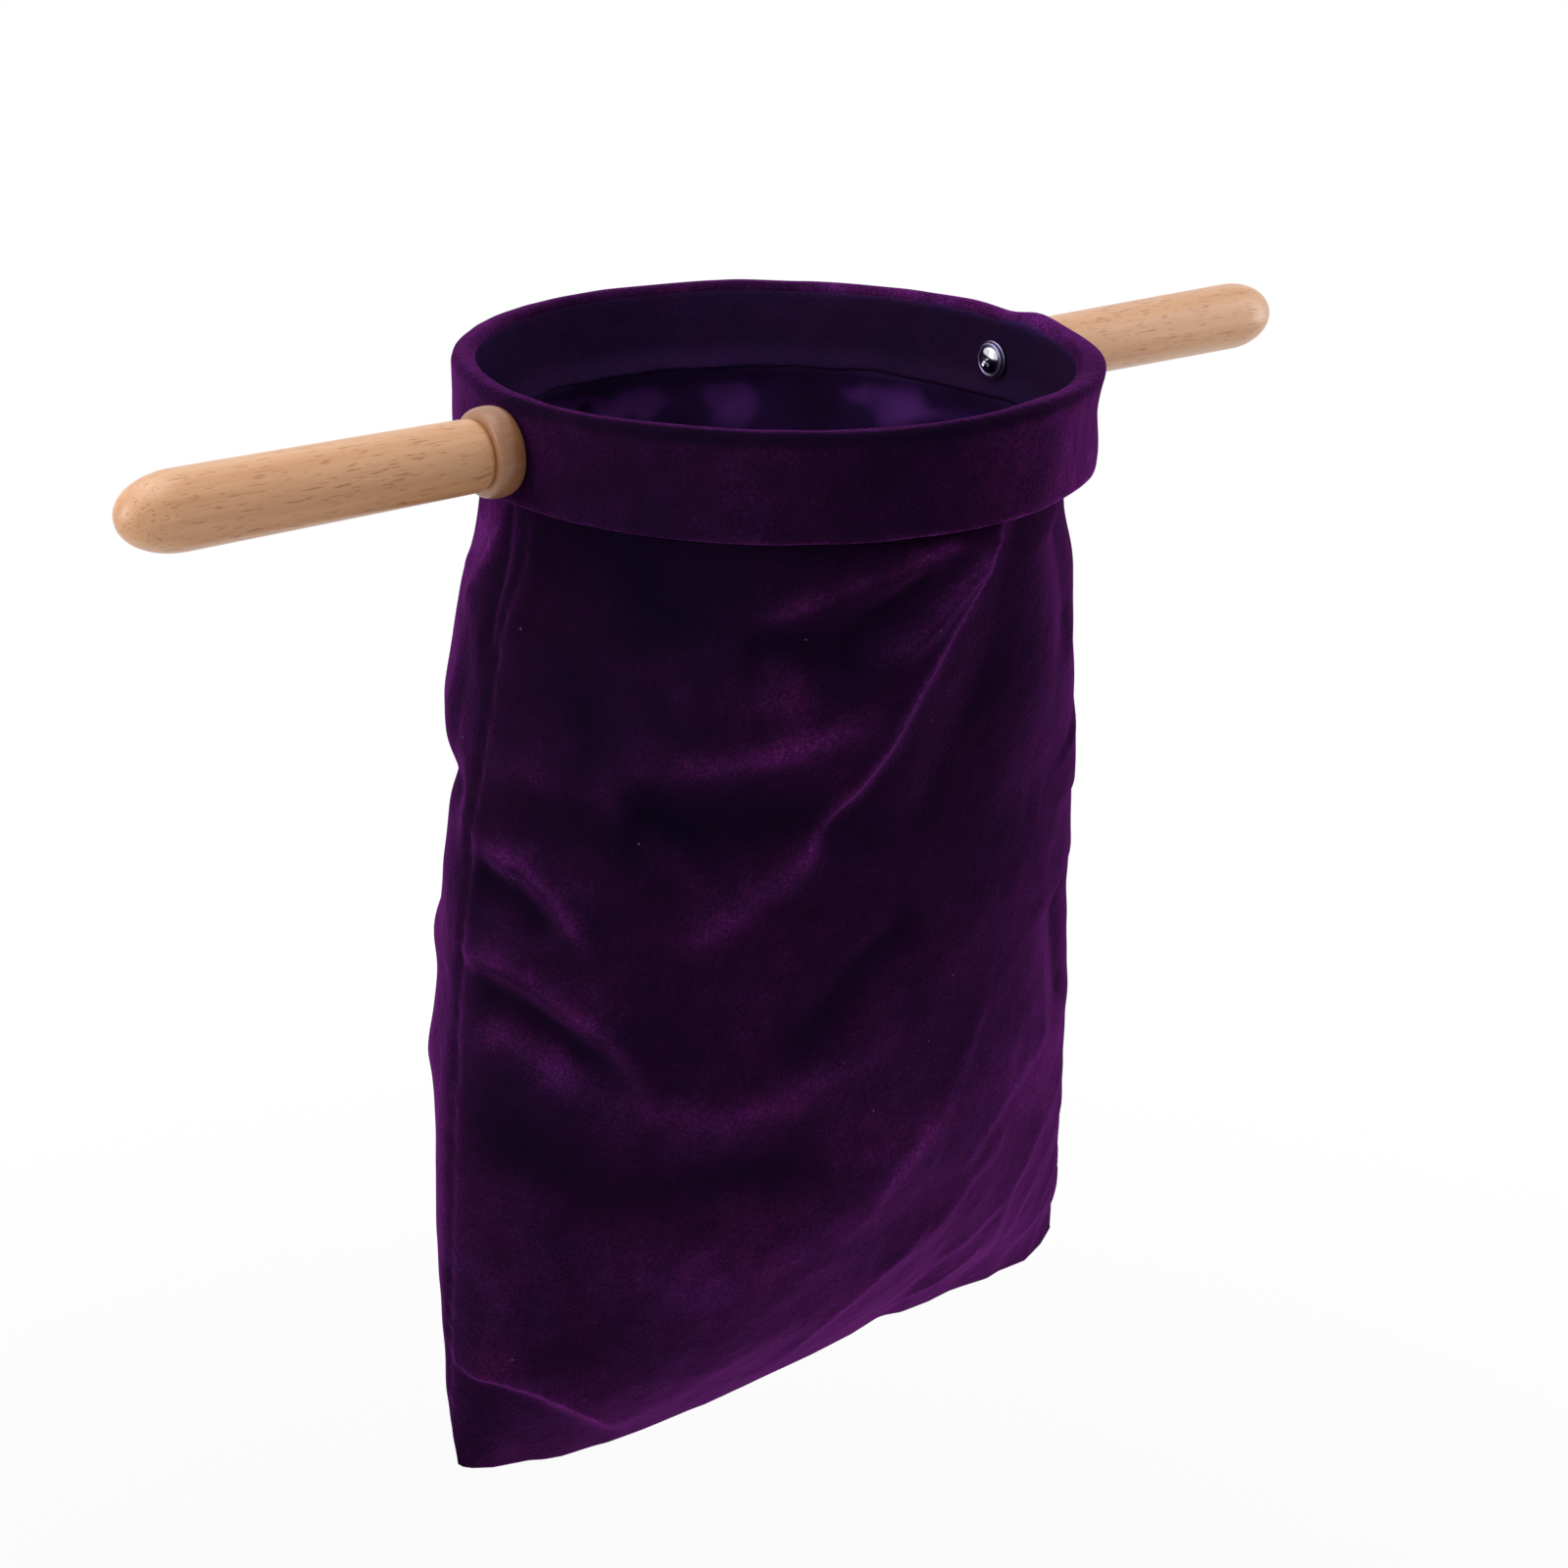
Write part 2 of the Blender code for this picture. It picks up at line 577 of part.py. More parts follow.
def build_side(word, side, parts, cutters, materials):
    # The handle, sleeve, screw and washer of one side, all on the handle's axis.
    out = Vector((side, 0.0, 0.0))
    turn = (0.0, math.radians(90) * side, 0.0)
    middle = Vector((0.0, 0.0, HANDLE_HEIGHT))

    handle = turned_piece(
        word + "_handle", handle_profile(), HANDLE_STEPS, False, parts, materials["beech"]
    )
    handle.location = middle + out * HANDLE_SEAT

    sleeve_profile = ring_profile(HOLE_RADIUS, SLEEVE_RADIUS, SLEEVE_LENGTH)
    sleeve = turned_piece(word + "_insert", sleeve_profile, FIXING_STEPS, True, parts, materials["brass"])
    sleeve.location = middle + out * (HANDLE_SEAT + SLEEVE_INSET)

    screw = turned_piece(word + "_screw", screw_profile(), FIXING_STEPS, False, parts, materials["chrome"])
    screw.location = middle + out * HEAD_SEAT
    recess = recess_cutter(word + "_recess_cutter", cutters)
    recess.location = middle + out * (HEAD_SEAT - HEAD_HEIGHT)
    recess.rotation_euler = turn
    cut(screw, recess, "Driver recess")

    washer_profile = ring_profile(HOLE_RADIUS, WASHER_RADIUS, WASHER_WALL)
    washer = turned_piece(word + "_washer", washer_profile, HANDLE_STEPS, True, parts, materials["chrome"])
    washer.location = middle + out * (WASHER_SEAT - WASHER_WALL)

    for piece in (handle, sleeve, screw, washer):
        piece.rotation_euler = turn


def build():
    clear_scene()
    parts = make_collection("offertory_bag")
    cutters = make_collection("cutters")
    materials = {
        "velvet": make_material("purple velvet", (0.020, 0.002, 0.028), 0.85),
        "satin": make_material("purple satin lining", (0.035, 0.006, 0.075), 0.35),
        "thread": make_material("purple thread", (0.030, 0.004, 0.040), 0.70),
        "plywood": make_material("bent plywood", (0.55, 0.38, 0.22), 0.65),
        "beech": make_material("lacquered beech", (0.62, 0.35, 0.20), 0.42),
        "brass": make_material("turned brass", (0.62, 0.45, 0.18), 0.35, 1.0),
        "chrome": make_material("chromed steel", (0.75, 0.75, 0.78), 0.12, 1.0),
    }
    hole = screw_hole_cutter(cutters)
    build_hoop(parts, hole, materials["plywood"])
    build_rim_cover(parts, hole, materials["velvet"])
    build_cover_thread(parts, materials["thread"])
    build_pouch_shells(parts, materials["velvet"], materials["satin"])
    build_seam_threads(parts, materials["thread"])
    for word, side in (("left", -1), ("right", 1)):
        build_side(word, side, parts, cutters, materials)


build()
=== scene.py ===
import math

import bmesh
import bpy
import numpy as np
from mathutils import Matrix, Vector, noise


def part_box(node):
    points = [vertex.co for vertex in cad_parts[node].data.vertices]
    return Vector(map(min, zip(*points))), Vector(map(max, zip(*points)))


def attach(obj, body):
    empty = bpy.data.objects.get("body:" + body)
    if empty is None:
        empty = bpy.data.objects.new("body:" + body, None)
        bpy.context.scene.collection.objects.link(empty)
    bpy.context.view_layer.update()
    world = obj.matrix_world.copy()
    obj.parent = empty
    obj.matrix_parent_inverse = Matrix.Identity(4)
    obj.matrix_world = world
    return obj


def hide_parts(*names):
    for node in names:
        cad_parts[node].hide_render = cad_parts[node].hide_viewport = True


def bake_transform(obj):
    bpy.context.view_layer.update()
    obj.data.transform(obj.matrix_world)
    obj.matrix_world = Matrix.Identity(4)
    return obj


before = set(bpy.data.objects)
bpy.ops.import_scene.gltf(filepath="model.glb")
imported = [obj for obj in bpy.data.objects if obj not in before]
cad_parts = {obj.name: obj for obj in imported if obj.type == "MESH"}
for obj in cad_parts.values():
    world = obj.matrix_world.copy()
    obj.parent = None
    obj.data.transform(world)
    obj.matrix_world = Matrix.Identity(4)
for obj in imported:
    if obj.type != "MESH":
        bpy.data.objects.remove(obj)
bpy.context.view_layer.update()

print("offertory bag: frame loaded")

mm = 0.001
waveBand = math.pi / 10  # how wide a wave node's band is at a scale of 1
bandLow, bandHigh = (Vector(corner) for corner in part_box("rim_cover"))
bandBottom = bandLow.z
bandTop = bandHigh.z
bandRadius = bandHigh.x
handleHeight = sum(corner[2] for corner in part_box("right_handle")) / 2
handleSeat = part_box("right_handle")[0][0]  # where the bead's flat face meets the band


def linear(hexColour):
    # sRGB hex to the linear values that a shader socket takes
    parts = [int(hexColour[i:i + 2], 16) / 255 for i in (1, 3, 5)]
    return [c / 12.92 if c <= 0.04045 else ((c + 0.055) / 1.055) ** 2.4 for c in parts] + [1.0]


def addNode(tree, kind, settings=None, stops=(), **links):
    # one node with its settings, its inputs linked or set by name, and a ramp's stops
    node = tree.nodes.new(kind)
    for key, value in (settings or {}).items():
        setattr(node, key, value)
    for key, value in links.items():
        socket = node.inputs[int(key[1:])] if key[1:].isdigit() else node.inputs[key.replace("_", " ")]
        if isinstance(value, bpy.types.NodeSocket):
            tree.links.new(value, socket)
        else:
            socket.default_value = value
    for i, (place, colour) in enumerate(stops):
        if i >= len(node.color_ramp.elements):
            node.color_ramp.elements.new(place)
        node.color_ramp.elements[i].position = place
        node.color_ramp.elements[i].color = linear(colour)
    return node


def newMaterial(name):
    material = bpy.data.materials.new(name)
    material.use_nodes = True
    tree = material.node_tree
    shader = next(n for n in tree.nodes if n.type == "BSDF_PRINCIPLED")
    return material, tree, shader


# Cotton velvet, woven with a cut pile: it swallows light face on and glows where it is seen edge on.
# Its colour carries painted light and shade: lighter where a fold turns up towards the light and along its
# crests, darker below them, in hollows and under the band
velvetLook = {
    "pile": ["#150a1e", "#1b0b22", "#240c2b", "#301035", "#46164c", "#6b2774"],  # from the deepest painted shade to the lightest painted highlight
    "pileStops": [0.0, 0.25, 0.45, 0.60, 0.80, 1.0],
    "sheen": "#a440b0",
    "sheenWeight": 0.85,
    "sheenRoughness": 0.30,
    "roughness": 0.95,
    "brushMarkMm": 44.0,
    "streakMm": 9.0,
    "pileMm": 1.1,  # one tuft is about 0.15 mm across, too fine to show, so it is drawn this coarse
    "shares": (0.55, 0.30, 0.64),  # how strongly the brush marks, the streaks and the pile show
    "streakRelief": 1.2,  # against the pile's own
    "reliefMm": 0.55,
    "reliefStrength": 0.8,
    "hueMm": 34.0,  # the dye's slow drift from bluer to redder
    "hueRange": (0.478, 0.512),
    "lint": "#80628f",  # a few caught fibres
    "lintApartMm": 18.0,
    "lintSize": (0.030, 0.012),  # from its edge to its middle, as a share of lintApartMm
    "lintShows": 0.6,
}

# A copy of the same velvet for the inside of the band, coloured bluer and greyer with little sheen: painted
# shade, for how it looks in the band's shade
velvetShadedLook = dict(
    velvetLook, sheen="#6c3a86", sheenWeight=0.07, shares=(0.45, 0.20, 0.45),
    pile=["#23132e", "#2a1738", "#311b42", "#391f4c", "#45265c", "#553471"],
)


def velvetMaterial(name, look):
    material, tree, shader = newMaterial(name)
    place = addNode(tree, "ShaderNodeTexCoord").outputs["Object"]
    # the painted light and shade, a number on each vertex
    paintedShading = addNode(tree, "ShaderNodeAttribute", {"attribute_name": "paintedShading"}).outputs["Fac"]
    brush = addNode(
        tree, "ShaderNodeTexNoise", Vector=place,
        Scale=1 / (look["brushMarkMm"] * mm), Detail=2.0, Roughness=0.5, Distortion=0.4,
    ).outputs[0]
    streaks = addNode(
        tree, "ShaderNodeTexNoise", Vector=place, Scale=1 / (look["streakMm"] * mm), Detail=3.0,
    ).outputs[0]
    pile = addNode(
        tree, "ShaderNodeTexNoise", Vector=place, Scale=1 / (look["pileMm"] * mm), Detail=3.0,
    ).outputs[0]
    mixed = paintedShading
    for marks, share in zip((brush, streaks, pile), look["shares"]):
        centred = addNode(tree, "ShaderNodeMath", {"operation": "SUBTRACT"}, _0=marks, _1=0.5).outputs[0]
        mixed = addNode(
            tree, "ShaderNodeMath", {"operation": "MULTIPLY_ADD"}, _0=centred, _1=share, _2=mixed,
        ).outputs[0]
    tint = addNode(
        tree, "ShaderNodeValToRGB", stops=list(zip(look["pileStops"], look["pile"])), Fac=mixed,
    ).outputs[0]
    dye = addNode(
        tree, "ShaderNodeTexNoise", Vector=place, Scale=1 / (look["hueMm"] * mm), Detail=2.0,
    ).outputs[0]
    hue = addNode(
        tree, "ShaderNodeMapRange", Value=dye, From_Min=0.35, From_Max=0.65,
        To_Min=look["hueRange"][0], To_Max=look["hueRange"][1],
    ).outputs[0]
    tinted = addNode(tree, "ShaderNodeHueSaturation", Hue=hue, Color=tint).outputs[0]
    fibres = addNode(
        tree, "ShaderNodeTexVoronoi", {"feature": "F1"}, Vector=place, Scale=1 / (look["lintApartMm"] * mm),
    ).outputs["Distance"]
    lint = addNode(
        tree, "ShaderNodeMapRange", Value=fibres,
        From_Min=look["lintSize"][0], From_Max=look["lintSize"][1], To_Min=0.0, To_Max=look["lintShows"],
    ).outputs[0]
    specked = addNode(
        tree, "ShaderNodeMix", {"data_type": "RGBA"}, _0=lint, _6=tinted, _7=linear(look["lint"]),
    ).outputs[2]
    tree.links.new(specked, shader.inputs["Base Color"])
    shader.inputs["Roughness"].default_value = look["roughness"]
    shader.inputs["Specular IOR Level"].default_value = 0.0  # cotton fibres have no gloss of their own
    shader.inputs["Sheen Weight"].default_value = look["sheenWeight"]
    shader.inputs["Sheen Roughness"].default_value = look["sheenRoughness"]
    shader.inputs["Sheen Tint"].default_value = linear(look["sheen"])
    relief = addNode(
        tree, "ShaderNodeMath", {"operation": "MULTIPLY_ADD"}, _0=streaks, _1=look["streakRelief"], _2=pile,
    ).outputs[0]
    bump = addNode(
        tree, "ShaderNodeBump", Height=relief,
        Strength=look["reliefStrength"], Distance=look["reliefMm"] * mm,
    ).outputs[0]
    tree.links.new(bump, shader.inputs["Normal"])
    return material


# Acetate satin: floats of filament that lie flat. Its broad soft patches of shine are painted into its
# colour, over its own faint gloss
satinLook = {
    "shade": "#1c0e2a",
    "middle": "#27133c",
    "light": "#54286f",
    "gloss": "#b08ad8",
    "glossLevel": 0.06,
    "roughness": 0.46,
    "dullRoughness": 0.80,
    "patchMm": 26.0,
    "patchShare": 0.35,
    "threadMm": 0.45,  # three of the real threads, which are too fine to show
    "reliefMm": 0.1,
}


def satinMaterial():
    material, tree, shader = newMaterial("acetate satin, woven")
    place = addNode(tree, "ShaderNodeTexCoord").outputs["Object"]
    # the painted shine and shade, a number on each vertex
    paintedShine = addNode(tree, "ShaderNodeAttribute", {"attribute_name": "paintedShine"}).outputs["Fac"]
    broad = addNode(
        tree, "ShaderNodeTexNoise", Vector=place, Scale=1 / (satinLook["patchMm"] * mm), Detail=1.0,
    ).outputs[0]
    shine = addNode(
        tree, "ShaderNodeMath", {"operation": "MULTIPLY_ADD"},
        _0=broad, _1=satinLook["patchShare"], _2=paintedShine,
    ).outputs[0]
    tint = addNode(tree, "ShaderNodeValToRGB", stops=[
        (0.25, satinLook["shade"]), (0.55, satinLook["middle"]), (1.0, satinLook["light"]),
    ], Fac=shine).outputs[0]
    tree.links.new(tint, shader.inputs["Base Color"])
    dull = addNode(
        tree, "ShaderNodeMapRange", Value=paintedShine, From_Min=0.0, From_Max=0.25,
        To_Min=satinLook["dullRoughness"], To_Max=satinLook["roughness"],
    ).outputs[0]
    tree.links.new(dull, shader.inputs["Roughness"])
    shader.inputs["Specular IOR Level"].default_value = satinLook["glossLevel"]
    shader.inputs["Specular Tint"].default_value = linear(satinLook["gloss"])
    weave = addNode(
        tree, "ShaderNodeTexWave", {"bands_direction": "Z"}, Vector=place,
        Scale=waveBand / (satinLook["threadMm"] * mm), Distortion=1.5,
    ).outputs[0]
    bump = addNode(
        tree, "ShaderNodeBump", Height=weave, Strength=0.15, Distance=satinLook["reliefMm"] * mm,
    ).outputs[0]
    tree.links.new(bump, shader.inputs["Normal"])
    return material


# European beech, turned and lacquered: pale pinkish wood with short dark ray flecks. The bead is coloured
# darker and browner than the grip
beechLook = {
    "pale": "#e3af83",
    "middle": "#d9a175",
    "grain": "#cd9164",
    "fleck": "#ab704a",
    "fleckShows": 0.75,
    "fleckReliefMm": 0.15,
    "beadBrown": "#7c4d2d",
    "beadBrownShows": 0.80,
    "beadBrownFromMm": (12.5, 10.0),  # outwards from the band: none beyond the first, all by the second
    "grainLengthMm": 60.0,
    "grainWidthMm": 3.2,
    "fleckLengthMm": 3.4,
    "fleckWidthMm": 0.34,
    "roughness": 0.40,
    "lacquer": 0.35,
    "lacquerRoughness": 0.25,
}


def beechMaterial():
    material, tree, shader = newMaterial("beech, turned and lacquered")
    place = addNode(tree, "ShaderNodeTexCoord").outputs["Object"]
    longGrain = addNode(
        tree, "ShaderNodeMapping", Vector=place,
        Scale=[1 / (beechLook["grainWidthMm"] * mm)] * 2 + [1 / (beechLook["grainLengthMm"] * mm)],
    ).outputs[0]
    grain = addNode(
        tree, "ShaderNodeTexNoise", Vector=longGrain, Scale=0.6, Detail=4.0, Distortion=0.5,
    ).outputs[0]
    body = addNode(tree, "ShaderNodeValToRGB", stops=[
        (0.28, beechLook["grain"]), (0.5, beechLook["middle"]), (0.74, beechLook["pale"]),
    ], Fac=grain).outputs[0]
    along = addNode(tree, "ShaderNodeSeparateXYZ", Vector=place).outputs[2]
    none, full = beechLook["beadBrownFromMm"]
    inBead = addNode(
        tree, "ShaderNodeMapRange", Value=along,
        From_Min=none * mm, From_Max=full * mm, To_Min=0.0, To_Max=beechLook["beadBrownShows"],
    ).outputs[0]
    body = addNode(
        tree, "ShaderNodeMix", {"data_type": "RGBA"}, _0=inBead, _6=body, _7=linear(beechLook["beadBrown"]),
    ).outputs[2]
    shortGrain = addNode(
        tree, "ShaderNodeMapping", Vector=place,
        Scale=[1 / (beechLook["fleckWidthMm"] * mm)] * 2 + [1 / (beechLook["fleckLengthMm"] * mm)],
    ).outputs[0]
    rays = addNode(tree, "ShaderNodeTexNoise", Vector=shortGrain, Scale=0.5, Detail=1.0).outputs[0]
    flecks = addNode(
        tree, "ShaderNodeMapRange", Value=rays,
        From_Min=0.60, From_Max=0.70, To_Min=0.0, To_Max=beechLook["fleckShows"],
    ).outputs[0]
    mixed = addNode(
        tree, "ShaderNodeMix", {"data_type": "RGBA"}, _0=flecks, _6=body, _7=linear(beechLook["fleck"]),
    ).outputs[2]
    tree.links.new(mixed, shader.inputs["Base Color"])
    shader.inputs["Roughness"].default_value = beechLook["roughness"]
    shader.inputs["Coat Weight"].default_value = beechLook["lacquer"]
    shader.inputs["Coat Roughness"].default_value = beechLook["lacquerRoughness"]
    bump = addNode(
        tree, "ShaderNodeBump", Height=flecks, Strength=0.3, Distance=-beechLook["fleckReliefMm"] * mm,
    ).outputs[0]
    tree.links.new(bump, shader.inputs["Normal"])
    return material


# Chromed and polished steel mirrors its surroundings sharply; the second steel, for the screw's flange and
# the washer, is rougher, and its violet-grey colour is a painted reflection of the velvet around it; turned
# brass, in the handles, keeps a soft yellow shine
metalLooks = {
    "steel, chromed and polished": {"colour": "#d2d2da", "roughness": 0.12, "scratchMm": 1.5},
    "steel, tinted by reflected velvet": {"colour": "#938bad", "roughness": 0.32, "scratchMm": 0.6},
    "brass, turned": {"colour": "#c9a55c", "roughness": 0.30, "scratchMm": 0.8},
}


def metalMaterial(name):
    look = metalLooks[name]
    material, tree, shader = newMaterial(name)
    place = addNode(tree, "ShaderNodeTexCoord").outputs["Object"]
    marks = addNode(
        tree, "ShaderNodeTexNoise", Vector=place, Scale=1 / (look["scratchMm"] * mm), Detail=3.0,
    ).outputs[0]
    spread = addNode(
        tree, "ShaderNodeMapRange", Value=marks,
        To_Min=look["roughness"] * 0.7, To_Max=look["roughness"] * 1.6,
    ).outputs[0]
    tree.links.new(spread, shader.inputs["Roughness"])
    shader.inputs["Base Color"].default_value = linear(look["colour"])
    shader.inputs["Metallic"].default_value = 1.0
    return material


# Birch plywood, bent: pale wood with fine darker lines, hidden in the velvet cover
plywoodLook = {"grainMm": 2.857, "dark": "#b79668", "pale": "#d8bd90", "roughness": 0.65}


def plywoodMaterial():
    material, tree, shader = newMaterial("birch plywood, bent")
    place = addNode(tree, "ShaderNodeTexCoord").outputs["Object"]
    grain = addNode(
        tree, "ShaderNodeTexNoise", Vector=place, Scale=1 / (plywoodLook["grainMm"] * mm), Detail=2.0,
    ).outputs[0]
    tint = addNode(tree, "ShaderNodeValToRGB", stops=[
        (0.4, plywoodLook["dark"]), (0.65, plywoodLook["pale"]),
    ], Fac=grain).outputs[0]
    tree.links.new(tint, shader.inputs["Base Color"])
    shader.inputs["Roughness"].default_value = plywoodLook["roughness"]
    return material


# Polyester thread, spun and twisted: dull, with light and dark along its twist
threadLook = {"twistMm": 2.618, "dark": "#241029", "light": "#3f1b47", "roughness": 0.7, "sheenWeight": 0.3}


def threadMaterial():
    material, tree, shader = newMaterial("polyester thread, spun")
    place = addNode(tree, "ShaderNodeTexCoord").outputs["Object"]
    twist = addNode(
        tree, "ShaderNodeTexWave", {"bands_direction": "DIAGONAL"}, Vector=place,
        Scale=waveBand / (threadLook["twistMm"] * mm),
    ).outputs[0]
    tint = addNode(tree, "ShaderNodeValToRGB", stops=[
        (0.2, threadLook["dark"]), (0.8, threadLook["light"]),
    ], Fac=twist).outputs[0]
    tree.links.new(tint, shader.inputs["Base Color"])
    shader.inputs["Roughness"].default_value = threadLook["roughness"]
    shader.inputs["Sheen Weight"].default_value = threadLook["sheenWeight"]
    return material


velvet = velvetMaterial("cotton velvet, cut pile", velvetLook)
velvetShadedCopy = velvetMaterial("cotton velvet, shaded copy", velvetShadedLook)
satin = satinMaterial()
beech = beechMaterial()
chrome, tintedSteel, brass = (metalMaterial(name) for name in metalLooks)
plywood = plywoodMaterial()
thread = threadMaterial()
print("offertory bag: materials made")


def linkNew(name, data):
    made = bpy.data.objects.new(name, data)
    bpy.context.collection.objects.link(made)
    return made


def meshObject(name, verts, faces, material):
    mesh = bpy.data.meshes.new(name)
    mesh.from_pydata([tuple(v) for v in verts], [], faces)
    mesh.update()
    mesh.shade_smooth()
    mesh.materials.append(material)
    return linkNew(name, mesh)


def thicken(made, clothMm):
    solid = made.modifiers.new("cloth thickness", "SOLIDIFY")
    solid.thickness = clothMm * mm
    solid.offset = -1
    return made


def smoothCurve(stations, at):
    # a smooth curve through (place, value) pairs, read at many places
    x = np.array([s[0] for s in stations], float)
    y = np.array([s[1] for s in stations], float)
    slope = np.gradient(y, x)
    i = np.clip(np.searchsorted(x, at) - 1, 0, len(x) - 2)
    span = x[i + 1] - x[i]
    t = np.clip((at - x[i]) / span, 0, 1)
    a = 2 * t**3 - 3 * t**2 + 1
    b = t**3 - 2 * t**2 + t
    c = -2 * t**3 + 3 * t**2
    d = t**3 - t**2
    return a * y[i] + b * span * slope[i] + c * y[i + 1] + d * span * slope[i + 1]


def ease(value, low, high):
    # 0 up to low, 1 from high on, and smooth between them
    t = np.clip((value - low) / (high - low), 0, 1)
    return t * t * (3 - 2 * t)


# The pouch in millimetres. Depth runs down from the band's underside; angles run round
# from the right seam (0) over the back (90) and the left seam (180) to the front (270).
pouch = {
    "columns": 384,
    "rows": 250,
    "drop": 396.0,
    "halfWidth": [(-4, 105.5), (0, 105.4), (20, 109.0), (45, 119.5), (75, 126.0), (130, 135.5), (198, 143.0),
                  (285, 150.0), (345, 154.3), (364, 156.6), (382, 156.6), (396, 156.0)],
    "halfDepth": [(-4, 105.5), (0, 105.3), (20, 103.0), (45, 98.0), (75, 93.0), (130, 83.0), (198, 77.0),
                  (285, 65.0), (345, 42.0), (380, 16.0), (396, 2.6)],
    "middle": [(-4, 0.0), (0, 0.0), (60, 1.0), (198, 2.0), (285, 3.5), (345, 6.2), (380, 9.0), (396, 10.0)],
    # the bottom seam's rise, by place across
    "hem": [(-160, 24.0), (-146, 20.2), (-144, 18.2), (-140, 16.0), (-131, 12.6), (-115, 9.0), (-108, 6.4),
            (-100, 4.4), (-84, 2.5), (-78, 1.4), (-62, 0.3), (-37, -0.3), (-30, -0.8), (0, 0.0), (26, 0.2),
            (48, 1.6), (62, 4.0), (66, 3.8), (76, 1.4), (92, 0.4), (104, 1.0), (112, 0.2), (127, -1.6),
            (134, -0.6), (150, -1.6), (160, 3.0), (166, 9.0), (170, 14.0)],
    "hemFrom": 240.0,  # the depth from which the cloth follows the bottom seam's rise
    "cloth": 1.2,
    # painted shade and light by depth: darker up in the band's shade, lighter further down
    "paintedShading": [(-4, 0.22), (60, 0.27), (110, 0.34), (180, 0.46), (240, 0.52), (300, 0.54), (396, 0.55)],
    "paintedLightFrom": (-0.45, -0.25, 0.86),  # the painted light's direction: faces turned this way are painted lighter
    # painted light on faces turned towards it, and painted highlights along fold crests
    "paintedTurnedLight": 0.34,
    "paintedCrestLight": 0.40,
    "paintedShadeUnderBand": 0.4,  # what is left of it in the band's shade, over the first 6 mm
    "foldScale": 0.75,
    "foldsFrom": (-4, 9),  # flat at the band, at full height by the second depth
    "wrinkles": [(1.2, 36, 3.7), (0.4, 14, 9.1)],  # height, width, seed
    "wrinklesFrom": (6, 60),
    "seamWide": 9.0,  # how far from a side seam its pull can be seen
    "seamPull": 0.65,
    # the side seam itself, drawn in a little and puckered along its length
    "groove": {"wide": 2.6, "deep": 0.8, "pucker": 0.3, "puckerLong": 11, "drift": 23,
               "from": (2, 24), "to": (366, 390)},
    "flatFrom": (372, 396),  # pressed flatter towards the bottom seam
    "flatShare": 0.8,
}

# Patches painted lighter or darker, partly brushed pile and mostly painted light and shade: angle, depth,
# half width, half height, how much lighter
brushedAndLitMarks = [
    (322, 290, 44, 90, 0.12), (300, 250, 44, 44, 0.12), (330, 50, 28, 70, -0.12), (286, 90, 30, 66, -0.12),
    (300, 160, 26, 40, -0.06), (345, 150, 14, 60, 0.14), (184, 150, 10, 190, -0.06), (205, 74, 24, 20, 0.10),
    (262, 345, 60, 34, 0.02), (226, 22, 40, 22, -0.10), (200, 101, 22, 11, -0.10), (217, 106, 20, 12, -0.08),
    (188, 133, 12, 12, -0.10), (157, 28, 18, 30, 0.34), (173, 20, 7, 26, -0.10), (282, 205, 22, 30, -0.04),
    (202, 230, 20, 15, -0.14), (219, 256, 22, 15, -0.10), (270, 240, 24, 24, 0.08), (251, 262, 26, 18, -0.06),
    (237, 306, 44, 26, 0.02), (214, 326, 22, 18, -0.05), (261, 158, 18, 16, -0.08), (258, 198, 18, 20, -0.06),
    (244, 228, 24, 10, 0.08),
    (244, 180, 30, 26, 0.08), (240, 78, 30, 11, 0.13), (197, 204, 14, 12, -0.08), (245, 56, 28, 16, 0.09),
    (236, 362, 40, 24, -0.14), (192, 300, 24, 40, -0.08), (256, 230, 22, 20, 0.06), (194, 119, 16, 6, 0.08),
    (320, 50, 26, 60, -0.12), (166, 12, 15, 26, 0.32), (264, 18, 13, 15, 0.16), (257, 46, 14, 16, 0.12),
    (243, 27, 24, 9, 0.10), (244, 66, 30, 18, 0.06), (262, 380, 34, 22, -0.18), (286, 374, 26, 22, -0.14),
    (236, 392, 30, 14, -0.08), (342, 230, 12, 60, 0.10),
]

# Folds that come to a crease, with the half width in mm of the light line along their crest
creases = {
    "ridge": 1.9, "lowCrease": 1.4, "lowCreaseNext": 1.3, "edgeLong": 1.6, "edgeCorner": 1.3,
    "edgeInner": 1.4, "cornerFold": 1.0, "rightLong": 1.6, "rightShort": 1.4, "underHandleFront": 1.5,
    "underHandleEdge": 1.5, "rightFine": 1.3, "rightFineLow": 1.2, "cornerFine": 1.2,
}

